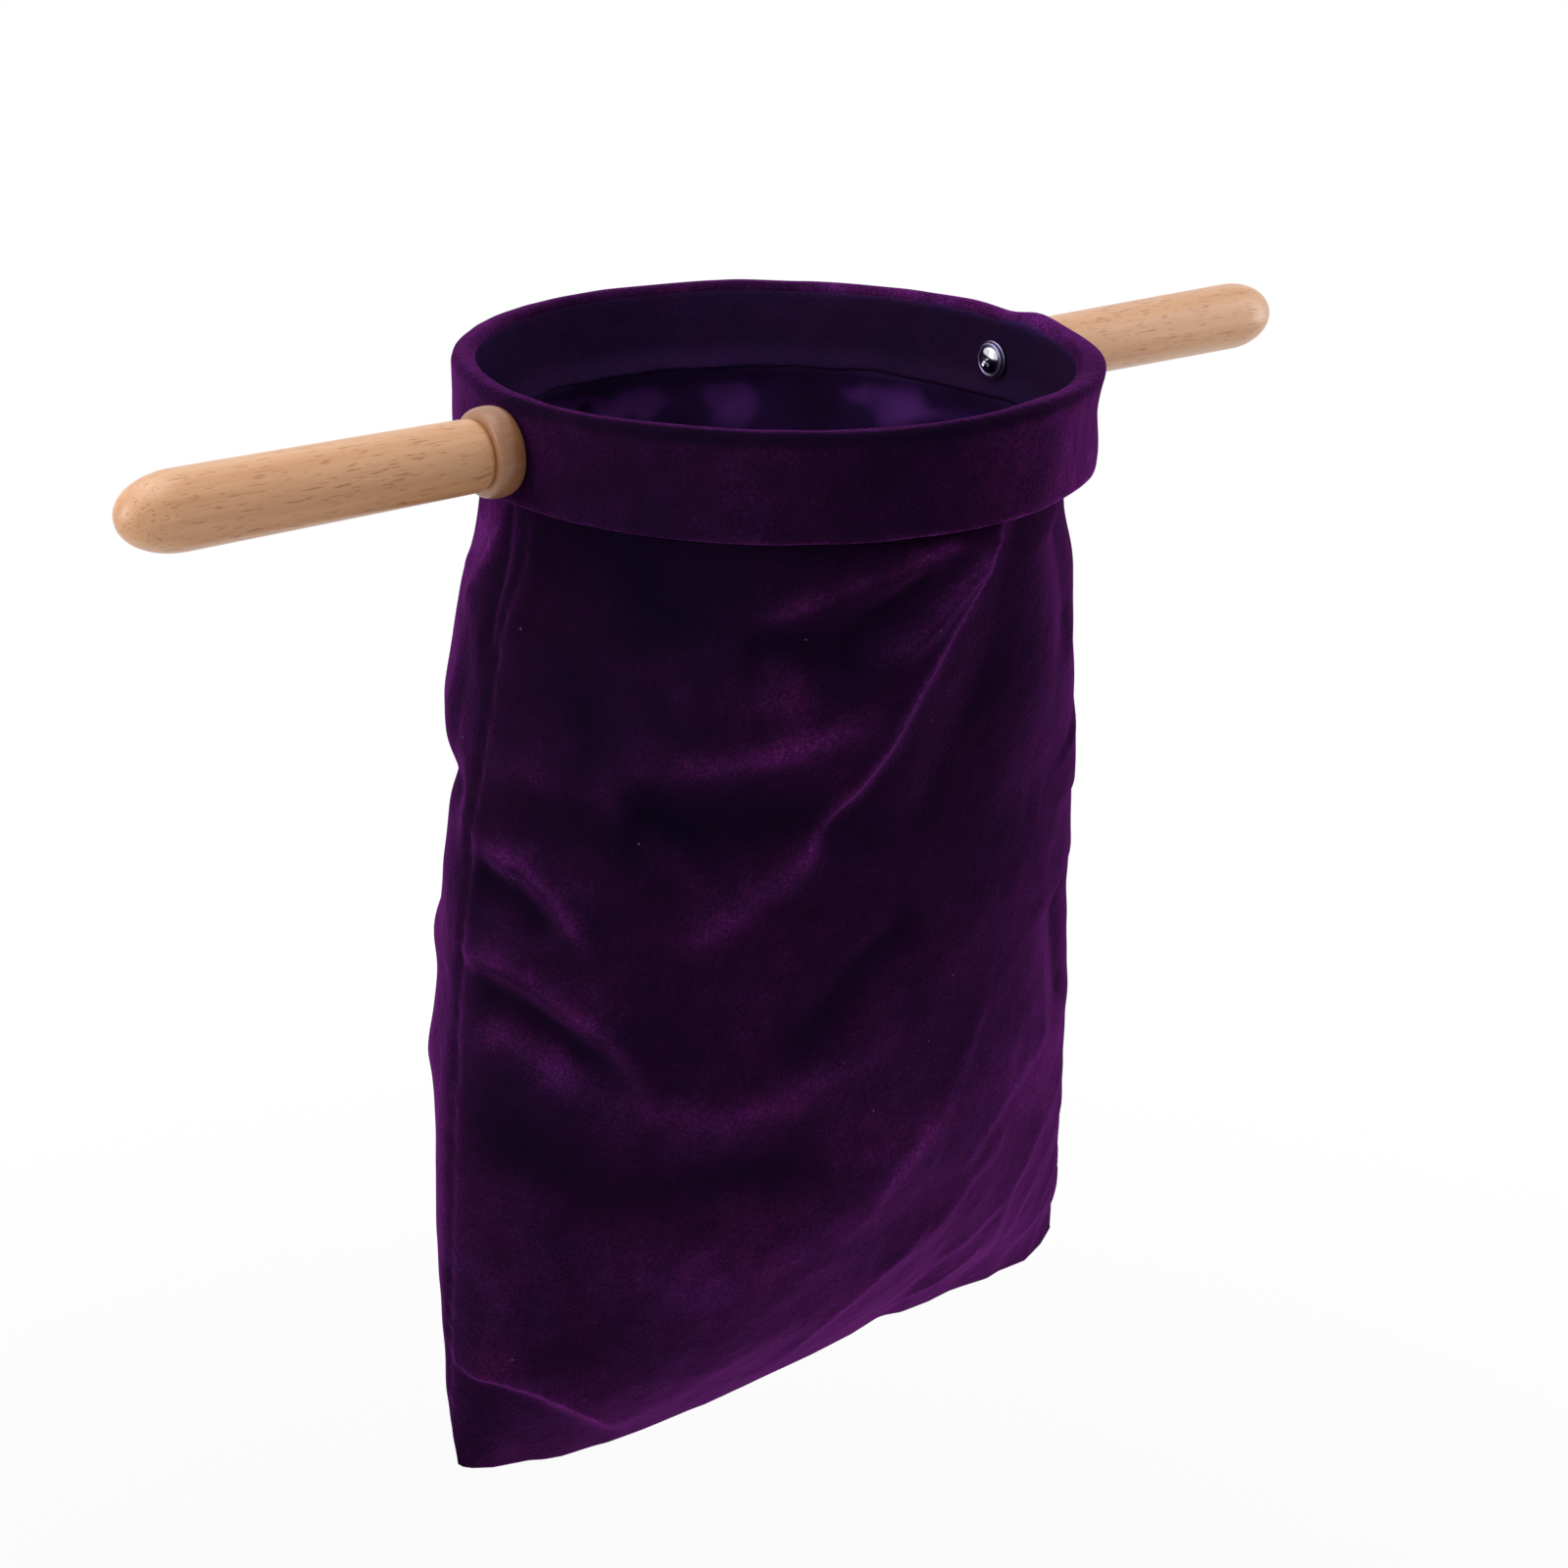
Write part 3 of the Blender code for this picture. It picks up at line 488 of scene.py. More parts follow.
# Folds: height, width on the right of travel, width on the left (head outwards), then the line
folds = {
    "ridge": (9.5, 40, 4.5, [(277, 0), (276, 8), (271, 26), (267, 42), (263, 60), (259, 79), (255, 92),
                             (251, 103), (249, 114), (247, 125), (243, 140)]),
    "besideRidge": (-5.5, 22, 26, [(288, 6), (283, 31), (281, 56), (277, 80), (273, 105), (266, 136)]),
    "swagHigh": (6.5, 9, 7, [(264, 5), (259, 9), (253, 14), (246, 18), (239, 24), (234, 28), (228, 31)]),
    "swagNext": (6.0, 9, 6, [(274, 9), (271, 14), (266, 23), (262, 34), (258, 42), (253, 50)]),
    "betweenSwags": (-3.5, 6, 6, [(262, 14), (256, 22), (251, 31), (246, 40)]),
    "underSwags": (-3.5, 9, 10, [(230, 38), (238, 38), (247, 42), (254, 44)]),
    "highPatch": (3.0, 13, 13, [(246, 50), (236, 57), (225, 57), (216, 54)]),
    "midSwag": (5.8, 26, 11, [(259, 64), (254, 69), (248, 72), (239, 76), (232, 81), (226, 84), (215, 86),
                              (206, 84)]),
    "midHollow": (-7.0, 17, 16, [(214, 96), (220, 97), (230, 102), (241, 105), (247, 102), (252, 88)]),
    "highLeftHollow": (-4.0, 22, 26, [(196, 6), (206, 17), (217, 32), (223, 46)]),
    "ridgeEnd": (5.0, 13, 13, [(251, 108), (247, 122), (242, 134), (236, 144), (228, 158)]),
    "streak": (-5.0, 13, 15, [(273, 156), (262, 171), (257, 184), (252, 197), (247, 212)]),
    "leftSoft": (3.2, 8, 11, [(180, 96), (184, 94), (193, 89), (206, 92), (217, 100), (225, 115), (231, 126),
                              (235, 144)]),
    "leftFirst": (6.0, 6.5, 6.5, [(172, 112), (181, 116), (187, 119), (197, 122), (202, 128), (208, 138),
                                  (212, 147), (215, 162)]),
    "leftFirstHollow": (-5.5, 9, 9, [(182, 130), (191, 133), (200, 139), (206, 151)]),
    "leftSecond": (6.2, 6, 8, [(174, 156), (185, 159), (198, 160), (205, 166), (210, 173), (216, 181),
                               (220, 188), (225, 202), (229, 216)]),
    "leftSecondHollow": (-5.0, 8, 8, [(186, 173), (199, 175), (207, 181), (214, 190), (221, 203)]),
    "leftThird": (3.5, 14, 14, [(172, 192), (181, 190), (193, 188), (200, 189), (206, 195), (221, 208),
                                (230, 216), (240, 221), (252, 219), (262, 213), (274, 203)]),
    "rightPinch": (-5.5, 16, 16, [(308, 10), (311, 36), (315, 60), (318, 78)]),
    "rightSwell": (3.0, 14, 14, [(318, 112), (322, 132), (322, 148)]),
    "rightPinchLow": (-7.0, 16, 16, [(317, 176), (320, 200), (323, 226), (326, 250)]),
    "rightSwellLow": (2.0, 12, 12, [(346, 345), (349, 362), (352, 380)]),
    "leftPinchHigh": (-3.0, 14, 14, [(150, 8), (151, 22), (152, 38)]),
    "lowHollow": (-3.8, 20, 18, [(182, 222), (199, 229), (210, 238), (223, 251), (235, 249), (248, 250),
                                 (264, 258)]),
    "lowBroad": (4.0, 28, 28, [(284, 246), (270, 273), (260, 290), (244, 305), (226, 298)]),
    "rightLong": (1.9, 8, 6, [(292, 196), (287, 220), (282, 249), (277, 259), (272, 268), (268, 284),
                              (262, 300)]),
    "rightShort": (1.9, 6, 6, [(302, 276), (299, 286), (294, 295), (289, 308), (283, 322), (276, 340)]),
    "rightFine": (1.5, 5, 4, [(316, 236), (308, 252), (300, 262), (293, 276), (287, 296)]),
    "rightFineLow": (1.3, 5, 4, [(310, 322), (303, 332), (296, 345), (288, 358), (281, 372)]),
    "lowCrease": (3.6, 9, 4, [(285, 308), (279, 324), (274, 334), (269, 350), (266, 370), (264, 390)]),
    "lowCreaseNext": (2.4, 6, 4, [(305, 352), (301, 361), (298, 369), (290, 382), (284, 394)]),
    "edgeLong": (2.2, 7, 5, [(331, 262), (326, 281), (320, 292), (314, 302), (309, 323), (308, 342),
                             (308, 360), (309, 384)]),
    "edgeCorner": (2.0, 7, 4, [(347, 326), (338, 344), (329, 362), (318, 378)]),
    "edgeInner": (1.5, 5, 4, [(340, 290), (330, 308), (320, 326), (315, 350), (314, 374)]),
    "cornerFine": (1.2, 4, 4, [(350, 300), (341, 322), (331, 342), (324, 364)]),
    "cornerFold": (5.4, 2.6, 34, [(172, 338), (187, 341), (196, 342), (202, 342), (210, 346), (216, 352),
                                  (225, 363), (232, 377), (241, 394)]),
    "underHandle": (-4.0, 5, 6, [(172, 4), (173, 20), (176, 42), (180, 70)]),
    "underHandleFront": (2.6, 5, 3.5, [(182, 4), (182, 14), (185, 27), (184, 34), (181, 44)]),
    "underHandleEdge": (3.0, 5, 6, [(172, 0), (169, 18), (166, 32), (159, 48)]),
    "underHandleBack": (3.0, 9, 8, [(158, 0), (156, 20), (153, 40)]),
    "leftBulge": (5.0, 20, 20, [(138, 74), (156, 80), (168, 82)]),
    "leftPinch": (-5.5, 9, 9, [(138, 108), (158, 106), (177, 108)]),
    "leftBulgeLow": (4.5, 18, 18, [(132, 206), (152, 212), (170, 216)]),
    "backRidge": (6.0, 10, 34, [(96, 0), (92, 40), (84, 80), (72, 118), (60, 144)]),
    "backBesideRidge": (-4.0, 20, 20, [(106, 16), (100, 70), (90, 116)]),
    "backSwag": (5.5, 9, 18, [(14, 112), (40, 124), (62, 148), (88, 162)]),
    "backSwagLow": (5.5, 9, 18, [(10, 178), (34, 184), (58, 202), (88, 218), (120, 214)]),
    "backHollow": (-4.5, 18, 18, [(30, 216), (60, 234), (100, 244)]),
    "backLeft": (5.0, 14, 10, [(112, 110), (130, 146), (148, 166), (170, 176)]),
    "backLow": (3.5, 14, 10, [(124, 246), (144, 268), (160, 300)]),
    "backCrease": (3.2, 7, 10, [(60, 310), (76, 328), (88, 350), (92, 388)]),
    "backCreaseNext": (3.0, 7, 8, [(120, 296), (112, 328), (116, 360), (120, 390)]),
}


def pouchBase(angle, depth):
    # the hanging tube without its folds, in metres
    wide = smoothCurve(pouch["halfWidth"], depth) * mm
    deep = smoothCurve(pouch["halfDepth"], depth) * mm
    middle = smoothCurve(pouch["middle"], depth) * mm
    x = middle + wide * np.cos(angle)
    y = deep * np.sin(angle)
    rise = np.interp(x / mm, [s[0] for s in pouch["hem"]], [s[1] for s in pouch["hem"]]) * mm
    z = bandBottom - depth * mm + rise * ease(depth, pouch["hemFrom"], pouch["drop"])
    outward = np.stack([deep * np.cos(angle), wide * np.sin(angle), np.zeros_like(x)], -1)
    outward /= np.maximum(np.linalg.norm(outward, axis=-1, keepdims=True), 1e-9)
    return np.stack([x, y, z], -1), outward


# How every fold is shaped across its line and along it
foldShape = {
    "stepsAPoint": 6,
    "reach": 3.2,  # in widths, beyond which it is nothing
    "roundness": 1.6,
    "sharpness": 1.15,  # of a fold that comes to a crease
    "fadeIn": 0.16,  # shares of its length
    "fadeOut": 0.74,
    "fullAboveMm": 6,  # a fold that starts this near the band is at its full height there
    "crestShare": 0.6,  # how much of its width shows light, and in mm at least and at most
    "crestMm": (3, 10),
    "creaseMm": (1, 10),
    "crestLight": 0.75,
    "creaseLight": (0.45, 0.90),  # the soft light along a crease, and its thin line
    "lightHeightMm": 6,  # a fold of this height shows 1, and none more than lightMost
    "lightMost": 1.2,
}


def foldHeight(points, outward, fold, crease):
    # height of one fold at every point, faded at its line's ends: rounded, or sharp with a crease's thin
    # light line. The second value is how light its crest shows
    height, right, left, line = fold
    angles = np.radians([p[0] for p in line])
    depths = np.array([p[1] for p in line], float)
    fine = np.linspace(0, len(line) - 1, foldShape["stepsAPoint"] * len(line))
    stations = np.arange(len(line))
    path, _ = pouchBase(
        smoothCurve(list(zip(stations, angles)), fine), smoothCurve(list(zip(stations, depths)), fine)
    )
    along = np.concatenate([[0], np.cumsum(np.linalg.norm(np.diff(path, axis=0), axis=1))])
    reach = foldShape["reach"] * max(right, left) * mm
    close = np.all((points > path.min(0) - reach) & (points < path.max(0) + reach), axis=1)
    near, out = points[close], outward[close]
    nearest = np.full(len(near), np.inf)
    side = np.zeros(len(near))
    share = np.zeros(len(near))
    for k in range(len(path) - 1):
        step = path[k + 1] - path[k]
        length = np.linalg.norm(step)
        t = np.clip((near - path[k]) @ step / length**2, 0, 1)
        away = near - path[k] - t[:, None] * step
        far = np.linalg.norm(away, axis=1)
        closer = far < nearest
        across = (away * np.cross(step / length, out)).sum(1)
        nearest[closer] = far[closer]
        side[closer] = across[closer]
        share[closer] = (along[k] + t[closer] * length) / along[-1]
    width = np.where(side > 0, right, left) * mm
    fade = 1 - ease(share, foldShape["fadeOut"], 1.0)
    if depths[0] > foldShape["fullAboveMm"]:
        fade *= ease(share, 0.0, foldShape["fadeIn"])
    rise = np.zeros(len(points))
    crest = np.zeros(len(points))
    power = foldShape["sharpness" if crease else "roundness"]
    rise[close] = height * mm * np.exp(-((nearest / width) ** power)) * fade
    least, most = foldShape["creaseMm" if crease else "crestMm"]
    narrow = np.clip(width * foldShape["crestShare"], least * mm, most * mm)
    glow = foldShape["crestLight"] * np.exp(-((nearest / narrow) ** 2))
    if crease:
        soft, thin = foldShape["creaseLight"]
        glow = soft * glow + thin * np.exp(-((nearest / (crease * mm)) ** 2))
    light = min(abs(height) / foldShape["lightHeightMm"], foldShape["lightMost"])
    # painted highlight along a fold's crest, and painted shade along a hollow
    crest[close] = np.sign(height) * light * glow * fade
    return rise, crest


def wrinkles(points, size, seed):
    # soft unevenness from about -1 to 1, size mm across
    return np.array([noise.noise(Vector(p) / (size * mm) + Vector((seed, 0, 0))) for p in points])


def pouchGrid(columns, rows):
    # rows crowd towards the mouth and the hem
    top = pouch["halfWidth"][0][0]
    share = np.linspace(0, 1, rows + 1)
    depth = top + (pouch["drop"] - top) * (share - 0.05 * np.sin(2 * math.pi * share))
    angle = np.linspace(0, 2 * math.pi, columns, endpoint=False)
    depth, angle = np.meshgrid(depth, angle, indexing="ij")
    return angle.ravel(), depth.ravel()


def gridNormals(points, columns, rows):
    net = points.reshape(rows + 1, columns, 3)
    around = np.roll(net, -1, 1) - np.roll(net, 1, 1)
    normals = np.cross(np.gradient(net, axis=0), around).reshape(-1, 3)
    return normals / np.maximum(np.linalg.norm(normals, axis=1, keepdims=True), 1e-12)


def paint(made, name, values):
    # one number a vertex, for the material to read
    layer = made.data.attributes.new(name, "FLOAT", "POINT")
    layer.data.foreach_set("value", np.clip(values, 0, 1).astype(np.float32))


def softMarks(points, marks, firm=1.0):
    # how much lighter a list of patches makes each point: soft-edged, or firmer
    total = np.zeros(len(points))
    for angle, depth, wide, high, lighter in marks:
        middle, _ = pouchBase(np.radians([angle]), np.array([depth], float))
        away = points - middle
        far = (away[:, 0]**2 + away[:, 1]**2) / (wide * mm) ** 2 + (away[:, 2] / (high * mm)) ** 2
        total += lighter * np.exp(-(far**firm))
    return total


def gridFaces(columns, rows):
    faces = []
    for row in range(rows):
        for column in range(columns):
            right = (column + 1) % columns
            low = (row + 1) * columns
            faces.append((row * columns + column, low + column, low + right, row * columns + right))
    return faces


def hemFaces(columns, rows):
    # the front's last row meets the back's
    first = rows * columns
    half = columns // 2
    faces = [(first, first + 1, first + columns - 1)]
    for k in range(1, half - 1):
        faces.append((first + k, first + k + 1, first + columns - k - 1, first + columns - k))
    faces.append((first + half - 1, first + half, first + half + 1))
    return faces


def pouchSurface(columns, rows):
    angle, depth = pouchGrid(columns, rows)
    plain, outward = pouchBase(angle, depth)
    height = np.zeros(len(plain))
    crests = np.zeros(len(plain))
    for name, fold in folds.items():
        rise, crest = foldHeight(plain, outward, fold, creases.get(name))
        height += rise * pouch["foldScale"]
        crests += crest
    height *= ease(depth, *pouch["foldsFrom"])
    across = np.sin(angle) * smoothCurve(pouch["halfDepth"], depth)
    aside = (1 - np.abs(np.cos(angle))) * smoothCurve(pouch["halfWidth"], depth)
    seam = np.hypot(across, aside)  # how far from the nearer side seam
    pull = np.exp(-((seam / pouch["seamWide"]) ** 2))  # the seams hold the cloth tight beside them
    height *= 1 - pouch["seamPull"] * pull
    crests *= 1 - pouch["seamPull"] * pull
    uneven = sum(rise * mm * wrinkles(plain, size, seed) for rise, size, seed in pouch["wrinkles"])
    height += ease(depth, *pouch["wrinklesFrom"]) * uneven
    groove = pouch["groove"]
    pucker = np.sin(depth * 2 * math.pi / groove["puckerLong"] + 3 * np.sin(depth / groove["drift"]))
    deep = (groove["deep"] * mm + groove["pucker"] * mm * pucker) * np.exp(-((seam / groove["wide"]) ** 2))
    height -= deep * ease(depth, *groove["from"]) * (1 - ease(depth, *groove["to"]))
    height *= 1 - ease(depth, *pouch["flatFrom"]) * pouch["flatShare"]
    points = plain + outward * height[:, None]
    return points, plain, outward, depth, crests, pull


def buildVelvetPouch():
    columns, rows = pouch["columns"], pouch["rows"]
    points, plain, _, depth, crests, pull = pouchSurface(columns, rows)
    faces = gridFaces(columns, rows) + hemFaces(columns, rows)
    made = meshObject("velvetPouch", points, faces, velvet)
    # the colour's painted light and shade: by depth and in patches, lighter on faces turned up and along
    # crests, darker under the band
    turnedUp = gridNormals(points, columns, rows) - gridNormals(plain, columns, rows)
    light = Vector(pouch["paintedLightFrom"]).normalized()
    paintedShading = smoothCurve(pouch["paintedShading"], depth) + softMarks(points, brushedAndLitMarks)
    lightSide = np.clip(turnedUp @ np.array(light), -0.6, 0.6) * (1 - 0.5 * pull)
    paintedShading += pouch["paintedTurnedLight"] * lightSide + pouch["paintedCrestLight"] * crests
    shade = (1 - pouch["paintedShadeUnderBand"]) * (1 - ease(depth, 0, 6))
    paint(made, "paintedShading", paintedShading * (1 - shade))
    return thicken(made, pouch["cloth"])


# The lining hangs free inside the velvet, in millimetres
lining = {
    "columns": 216,
    "rows": 120,
    "clear": 1.4,  # inside the velvet's outer face
    "looseFrom": (1, 28),  # sewn tight at the band, fully loose by the second depth
    "looseClear": 0.8,
    "billow": 7.0,
    "billowMm": 42.0,
    "gather": 2.0,
    "gathers": 13,
    "cloth": 0.5,
    "topRaise": 1.5,  # it is sewn in a little above the band's underside
    "narrower": (300, 0.05),  # from this depth down to its seam, by this share
    "shorter": (330, 10),  # from this depth, by this much at its seam
    "paintedShine": 0.26,
    "billowPaintedShine": 0.6,
    # where it shines or lies in shade: angle, depth, half width, half height, how much lighter
    "marks": [(24, 5, 18, 8, 0.34), (19, 9, 9, 6, 0.14), (9, 9, 12, 7, 0.22), (64, 8, 16, 8, 0.38),
              (60, 13, 8, 5, 0.16), (84, 8, 17, 8, 0.46), (98, 5, 14, 7, 0.46), (110, 2, 12, 6, 0.40),
              (34, 2, 9, 6, 0.22), (44, 10, 13, 16, -0.24), (74, 14, 6, 8, -0.20)],
    "patchBend": 10.0,  # the patches' outlines wander by as much
    "patchBendMm": 11,
}


def buildLining():
    columns, rows = lining["columns"], lining["rows"]
    points, plain, outward, depth, _, _ = pouchSurface(columns, rows)
    angle, _ = pouchGrid(columns, rows)
    wave = np.sin(angle * lining["gathers"] + 1.8 * np.sin(angle * 4 + depth / 50) + depth / 70)
    loose = ease(depth, *lining["looseFrom"])
    billow = 0.5 + 0.5 * wrinkles(plain * np.array([1, 1, 0.6]), lining["billowMm"], 5.5)
    hang = lining["gather"] * (0.5 + 0.5 * wave) + lining["billow"] * billow
    drop = lining["clear"] + lining["looseClear"] * loose + loose * hang
    drop = np.minimum(drop, 0.5 * smoothCurve(pouch["halfDepth"], depth) + 1.2)
    points = points - outward * (drop * mm)[:, None]
    fromDepth, share = lining["narrower"]
    points[:, 0] *= 1 - share * ease(depth, fromDepth, pouch["drop"])
    fromDepth, lifted = lining["shorter"]
    points[:, 2] += ease(depth, fromDepth, pouch["drop"]) * lifted * mm
    raised = (1 - ease(depth, -4, 0)) * lining["topRaise"] * mm  # only above the velvet's own top
    points[:, 2] += raised
    faces = gridFaces(columns, rows) + hemFaces(columns, rows)
    made = meshObject("satinLining", points, faces, satin)
    sideways, upwards = (
        lining["patchBend"] * mm * wrinkles(plain, lining["patchBendMm"], seed) for seed in (21.3, 27.9)
    )
    bent = plain + np.stack([sideways, sideways, upwards + raised], -1)
    # the shine is painted into the colour: lighter on the billows and in the listed patches
    paintedShine = lining["paintedShine"] + lining["billowPaintedShine"] * (billow - 0.5)
    paintedShine += softMarks(bent, lining["marks"], 2.0)
    paint(made, "paintedShine", paintedShine * (0.4 + 0.6 * ease(depth, -4, 4)))  # duller in the band's shade
    return thicken(made, lining["cloth"])


# Sewing thread inside the turned seams, between the velvet and the lining, in millimetres
seamThread = {
    "columns": 314,  # a point for each stitch of 3 mm, round the pouch and down it
    "rows": 132,
    "radius": 0.35,
    "sway": 0.3,
    "inside": 1.3,  # from the velvet's outer face
    "hemRaise": 2.0,
}


def buildSeamThread(name, path):
    curve = bpy.data.curves.new(name, "CURVE")
    curve.dimensions = "3D"
    curve.bevel_depth = seamThread["radius"] * mm
    curve.bevel_resolution = 1
    line = curve.splines.new("POLY")
    line.points.add(len(path) - 1)
    for k, spot in enumerate(path):
        sway = seamThread["sway"] * mm * math.sin(k * math.pi / 2)
        line.points[k].co = (spot[0], spot[1] + sway, spot[2], 1)
    made = linkNew(name, curve)
    mesh = bpy.data.meshes.new_from_object(made)
    bpy.data.objects.remove(made, do_unlink=True)
    mesh.materials.append(thread)
    return linkNew(name, mesh)


# The band's cover in millimetres: velvet pulled over the hoop and turned under it. Angles run from
# the right end (0) over the back (90) to the left end (180), and over the front (-90) too
band = {
    "steps": 360,
    "topRound": 3.4,
    "hemRound": 1.4,
    "wall": 8.8,
    "lump": 0.9,
    "fineLump": 0.25,
    "waist": 0.48,  # how much narrower at half its height
    "rise": 1.6,
    "lifts": [(66, 14, 1.4), (108, 26, 1.4), (2, 24, 0.7), (-7, 12, 2.2)],  # angle, half width, rim's rise
    "flare": (-40, 17, 2.8),  # the rim stands out where the front turns to the right end
    "snug": 22.0,  # it lies flat under the beads and washers, and is fully uneven this far beside them
    "underOuter": [(2.9, 0.0), (4.0, 0.7)],  # under the hoop: in from the outside, and up
    "underInner": [(1.0, 0.7), (0.2, 2.0)],  # out from the inside, and up
    "roll": 3.3,  # how far the inside swells over the lining's top edge
    "rollHeight": 5.5,
    "rollStart": 3.0,  # below that height
    "rollBack": 0.6,
    "rollHalf": 2.3,
    "rollTail": [(0.55, 2.6), (0.18, 5.0)],  # share of the roll, above its height
    "rollEnd": 7.4,
    "rollUneven": 1.6,
    "cloth": 1.0,
    "insideReach": (1.6, 1.0, 3.2),  # where the band's inside takes the velvet's shaded copy: how deep, and from the bottom and the top
    # painted light and shade: its plain value, then what each place adds
    "paintedShading": 0.42,
    "hemHighlight": 0.26,
    "rightHighlight": 0.42,
    "rightInsideShade": -0.30,
    "rimLeftHighlight": 0.56,
    "rimRightHighlight": 0.26,
    "rimBackHighlight": 0.56,
    "rimEdgeHighlight": 0.06,
    "endStreakHighlight": 0.14,
    "rightEnd": (-112, -30, 20, 60),  # from nothing to all of it, and back
    "leftEnd": (152, 26),  # angle, half width
    "litBack": (51, -0.1, 0.4),  # the back half of the rim, painted with a highlight: middle, and ends' cosines
    "rimFrom": (5.5, 1.0),  # the rim's light begins this far below the top and is full by the second
}


def arcPoints(centre, radiusX, radiusZ, start, end, count):
    angles = np.radians(np.linspace(start, end, count + 1))
    return [(centre[0] + radiusX * math.cos(a), centre[1] + radiusZ * math.sin(a)) for a in angles]


def bandLoop():
    # the cover's section, as (radius, height) pairs: down the outside, under, and up the inside
    outer = bandRadius
    inner = outer - band["wall"] * mm
    top, hem, roll = (band[k] * mm for k in ("topRound", "hemRound", "roll"))
    loop = [(outer, z) for z in np.linspace(bandTop - top, bandBottom + hem, 22)[1:-1]]
    loop += arcPoints((outer - hem, bandBottom + hem), hem, hem, 0, -90, 6)
    loop += [(outer - x * mm, bandBottom + z * mm) for x, z in band["underOuter"]]
    loop += [(inner + x * mm, bandBottom + z * mm) for x, z in band["underInner"]]
    low = bandBottom + band["rollHeight"] * mm
    back, half = band["rollBack"] * mm, band["rollHalf"] * mm
    loop += [(inner, low - band["rollStart"] * mm)]
    loop += arcPoints((inner + back, low), back + roll, half, -90, -190, 8)
    loop += [(inner - roll * share, low + z * mm) for share, z in band["rollTail"]]
    loop += [(inner, z) for z in np.linspace(low + band["rollEnd"] * mm, bandTop - top, 12)[:-1]]
    loop += arcPoints((inner + top, bandTop - top), top, top, 180, 90, 8)
    loop += arcPoints((outer - top, bandTop - top), top, top, 90, 0, 8)
    return loop


def bandVerts(loop, middle):
    # the section taken round the hoop, with the cloth's unevenness
    verts = []
    flarePlace, flareWide, flareMm = band["flare"]
    for k in range(band["steps"]):
        angle = 2 * math.pi * k / band["steps"]
        x, y = math.cos(angle), math.sin(angle)
        degrees = math.degrees(math.atan2(y, x))
        loose = min(abs(y) * middle / (band["snug"] * mm), 1)
        loose = loose * loose * (3 - 2 * loose)
        lift = noise.noise(Vector((x, y, 4)) * 1.7) * band["rise"] * mm
        for place, wide, rise in band["lifts"]:
            lift += rise * mm * math.exp(-(((degrees - place) / wide) ** 2))
        flare = flareMm * mm * math.exp(-(((degrees - flarePlace) / flareWide) ** 2))
        roll = noise.noise(Vector((x, y, 9)) * 5) * band["rollUneven"] * mm
        for radius, z in loop:
            spot = Vector((radius * x, radius * y, z))
            share = (z - bandBottom) / (bandTop - bandBottom)
            soft = noise.noise(spot / 0.034) * band["lump"] + noise.noise(spot / 0.011) * band["fineLump"]
            soft -= band["waist"] * (4 * share * (1 - share))
            out = 1 if radius > middle else -0.6  # the inside is held flatter
            outer = min(max((radius - middle) / (0.35 * band["wall"] * mm), 0), 1)
            radius += out * soft * mm * loose + outer * flare * (share**3 + 0.25 * math.sin(share * 7))
            z += (lift * share + noise.noise(spot / 0.016) * band["fineLump"] * mm) * loose
            if out < 0 and share < 0.5:
                z += roll * math.sin(2 * math.pi * share)
            verts.append((radius * x, radius * y, z))
    return verts


def bandPaintedShading(spots, middle):
    # painted light and shade: a plain face, painted highlights along the hem's edge, at the two ends and on
    # the rim's back half, and painted shade inside the right end and along the front of the rim's top
    reach = np.hypot(spots[:, 0], spots[:, 1])
    height = spots[:, 2]
    around = np.degrees(np.arctan2(spots[:, 1], spots[:, 0]))
    outerFace = ease(reach, middle, bandRadius - 1 * mm)
    # painted highlight along the hem's lower edge, uneven
    hemEdge = outerFace * (1 - ease(height, bandBottom + 0.3 * mm, bandBottom + 2.2 * mm))
    hemEdge *= 0.75 + 1.3 * wrinkles(spots, 9, 31.1)
    nothing, full, stillFull, gone = band["rightEnd"]
    rightEnd = ease(around, nothing, full) * (1 - ease(around, stillFull, gone))
    place, wide = band["leftEnd"]
    leftEnd = np.exp(-(((around - place) / wide) ** 2))
    place, nothing, full = band["litBack"]
    # the back half of the rim is painted lighter
    litBackShare = ease(np.cos(np.radians(around - place)), nothing, full)
    below, above = band["rimFrom"]
    crown = ease(height, bandTop - below * mm, bandTop - above * mm)
    rimEdge = crown * ease(reach, middle, middle + 3 * mm)
    face = band["paintedShading"] + band["hemHighlight"] * hemEdge
    face += (band["rightHighlight"] * outerFace + band["rightInsideShade"] * (1 - outerFace)) * rightEnd
    rim = band["rimLeftHighlight"] * leftEnd + band["rimRightHighlight"] * rightEnd
    rim += (band["rimBackHighlight"] + band["rimEdgeHighlight"] * rimEdge) * litBackShare
    # painted highlight streaks on the two ends
    streaky = wrinkles(spots * np.array([1, 1, 0.3]), 5, 13.7) * (rightEnd + leftEnd) * outerFace
    return face * (1 - crown) + rim * crown + band["endStreakHighlight"] * streaky


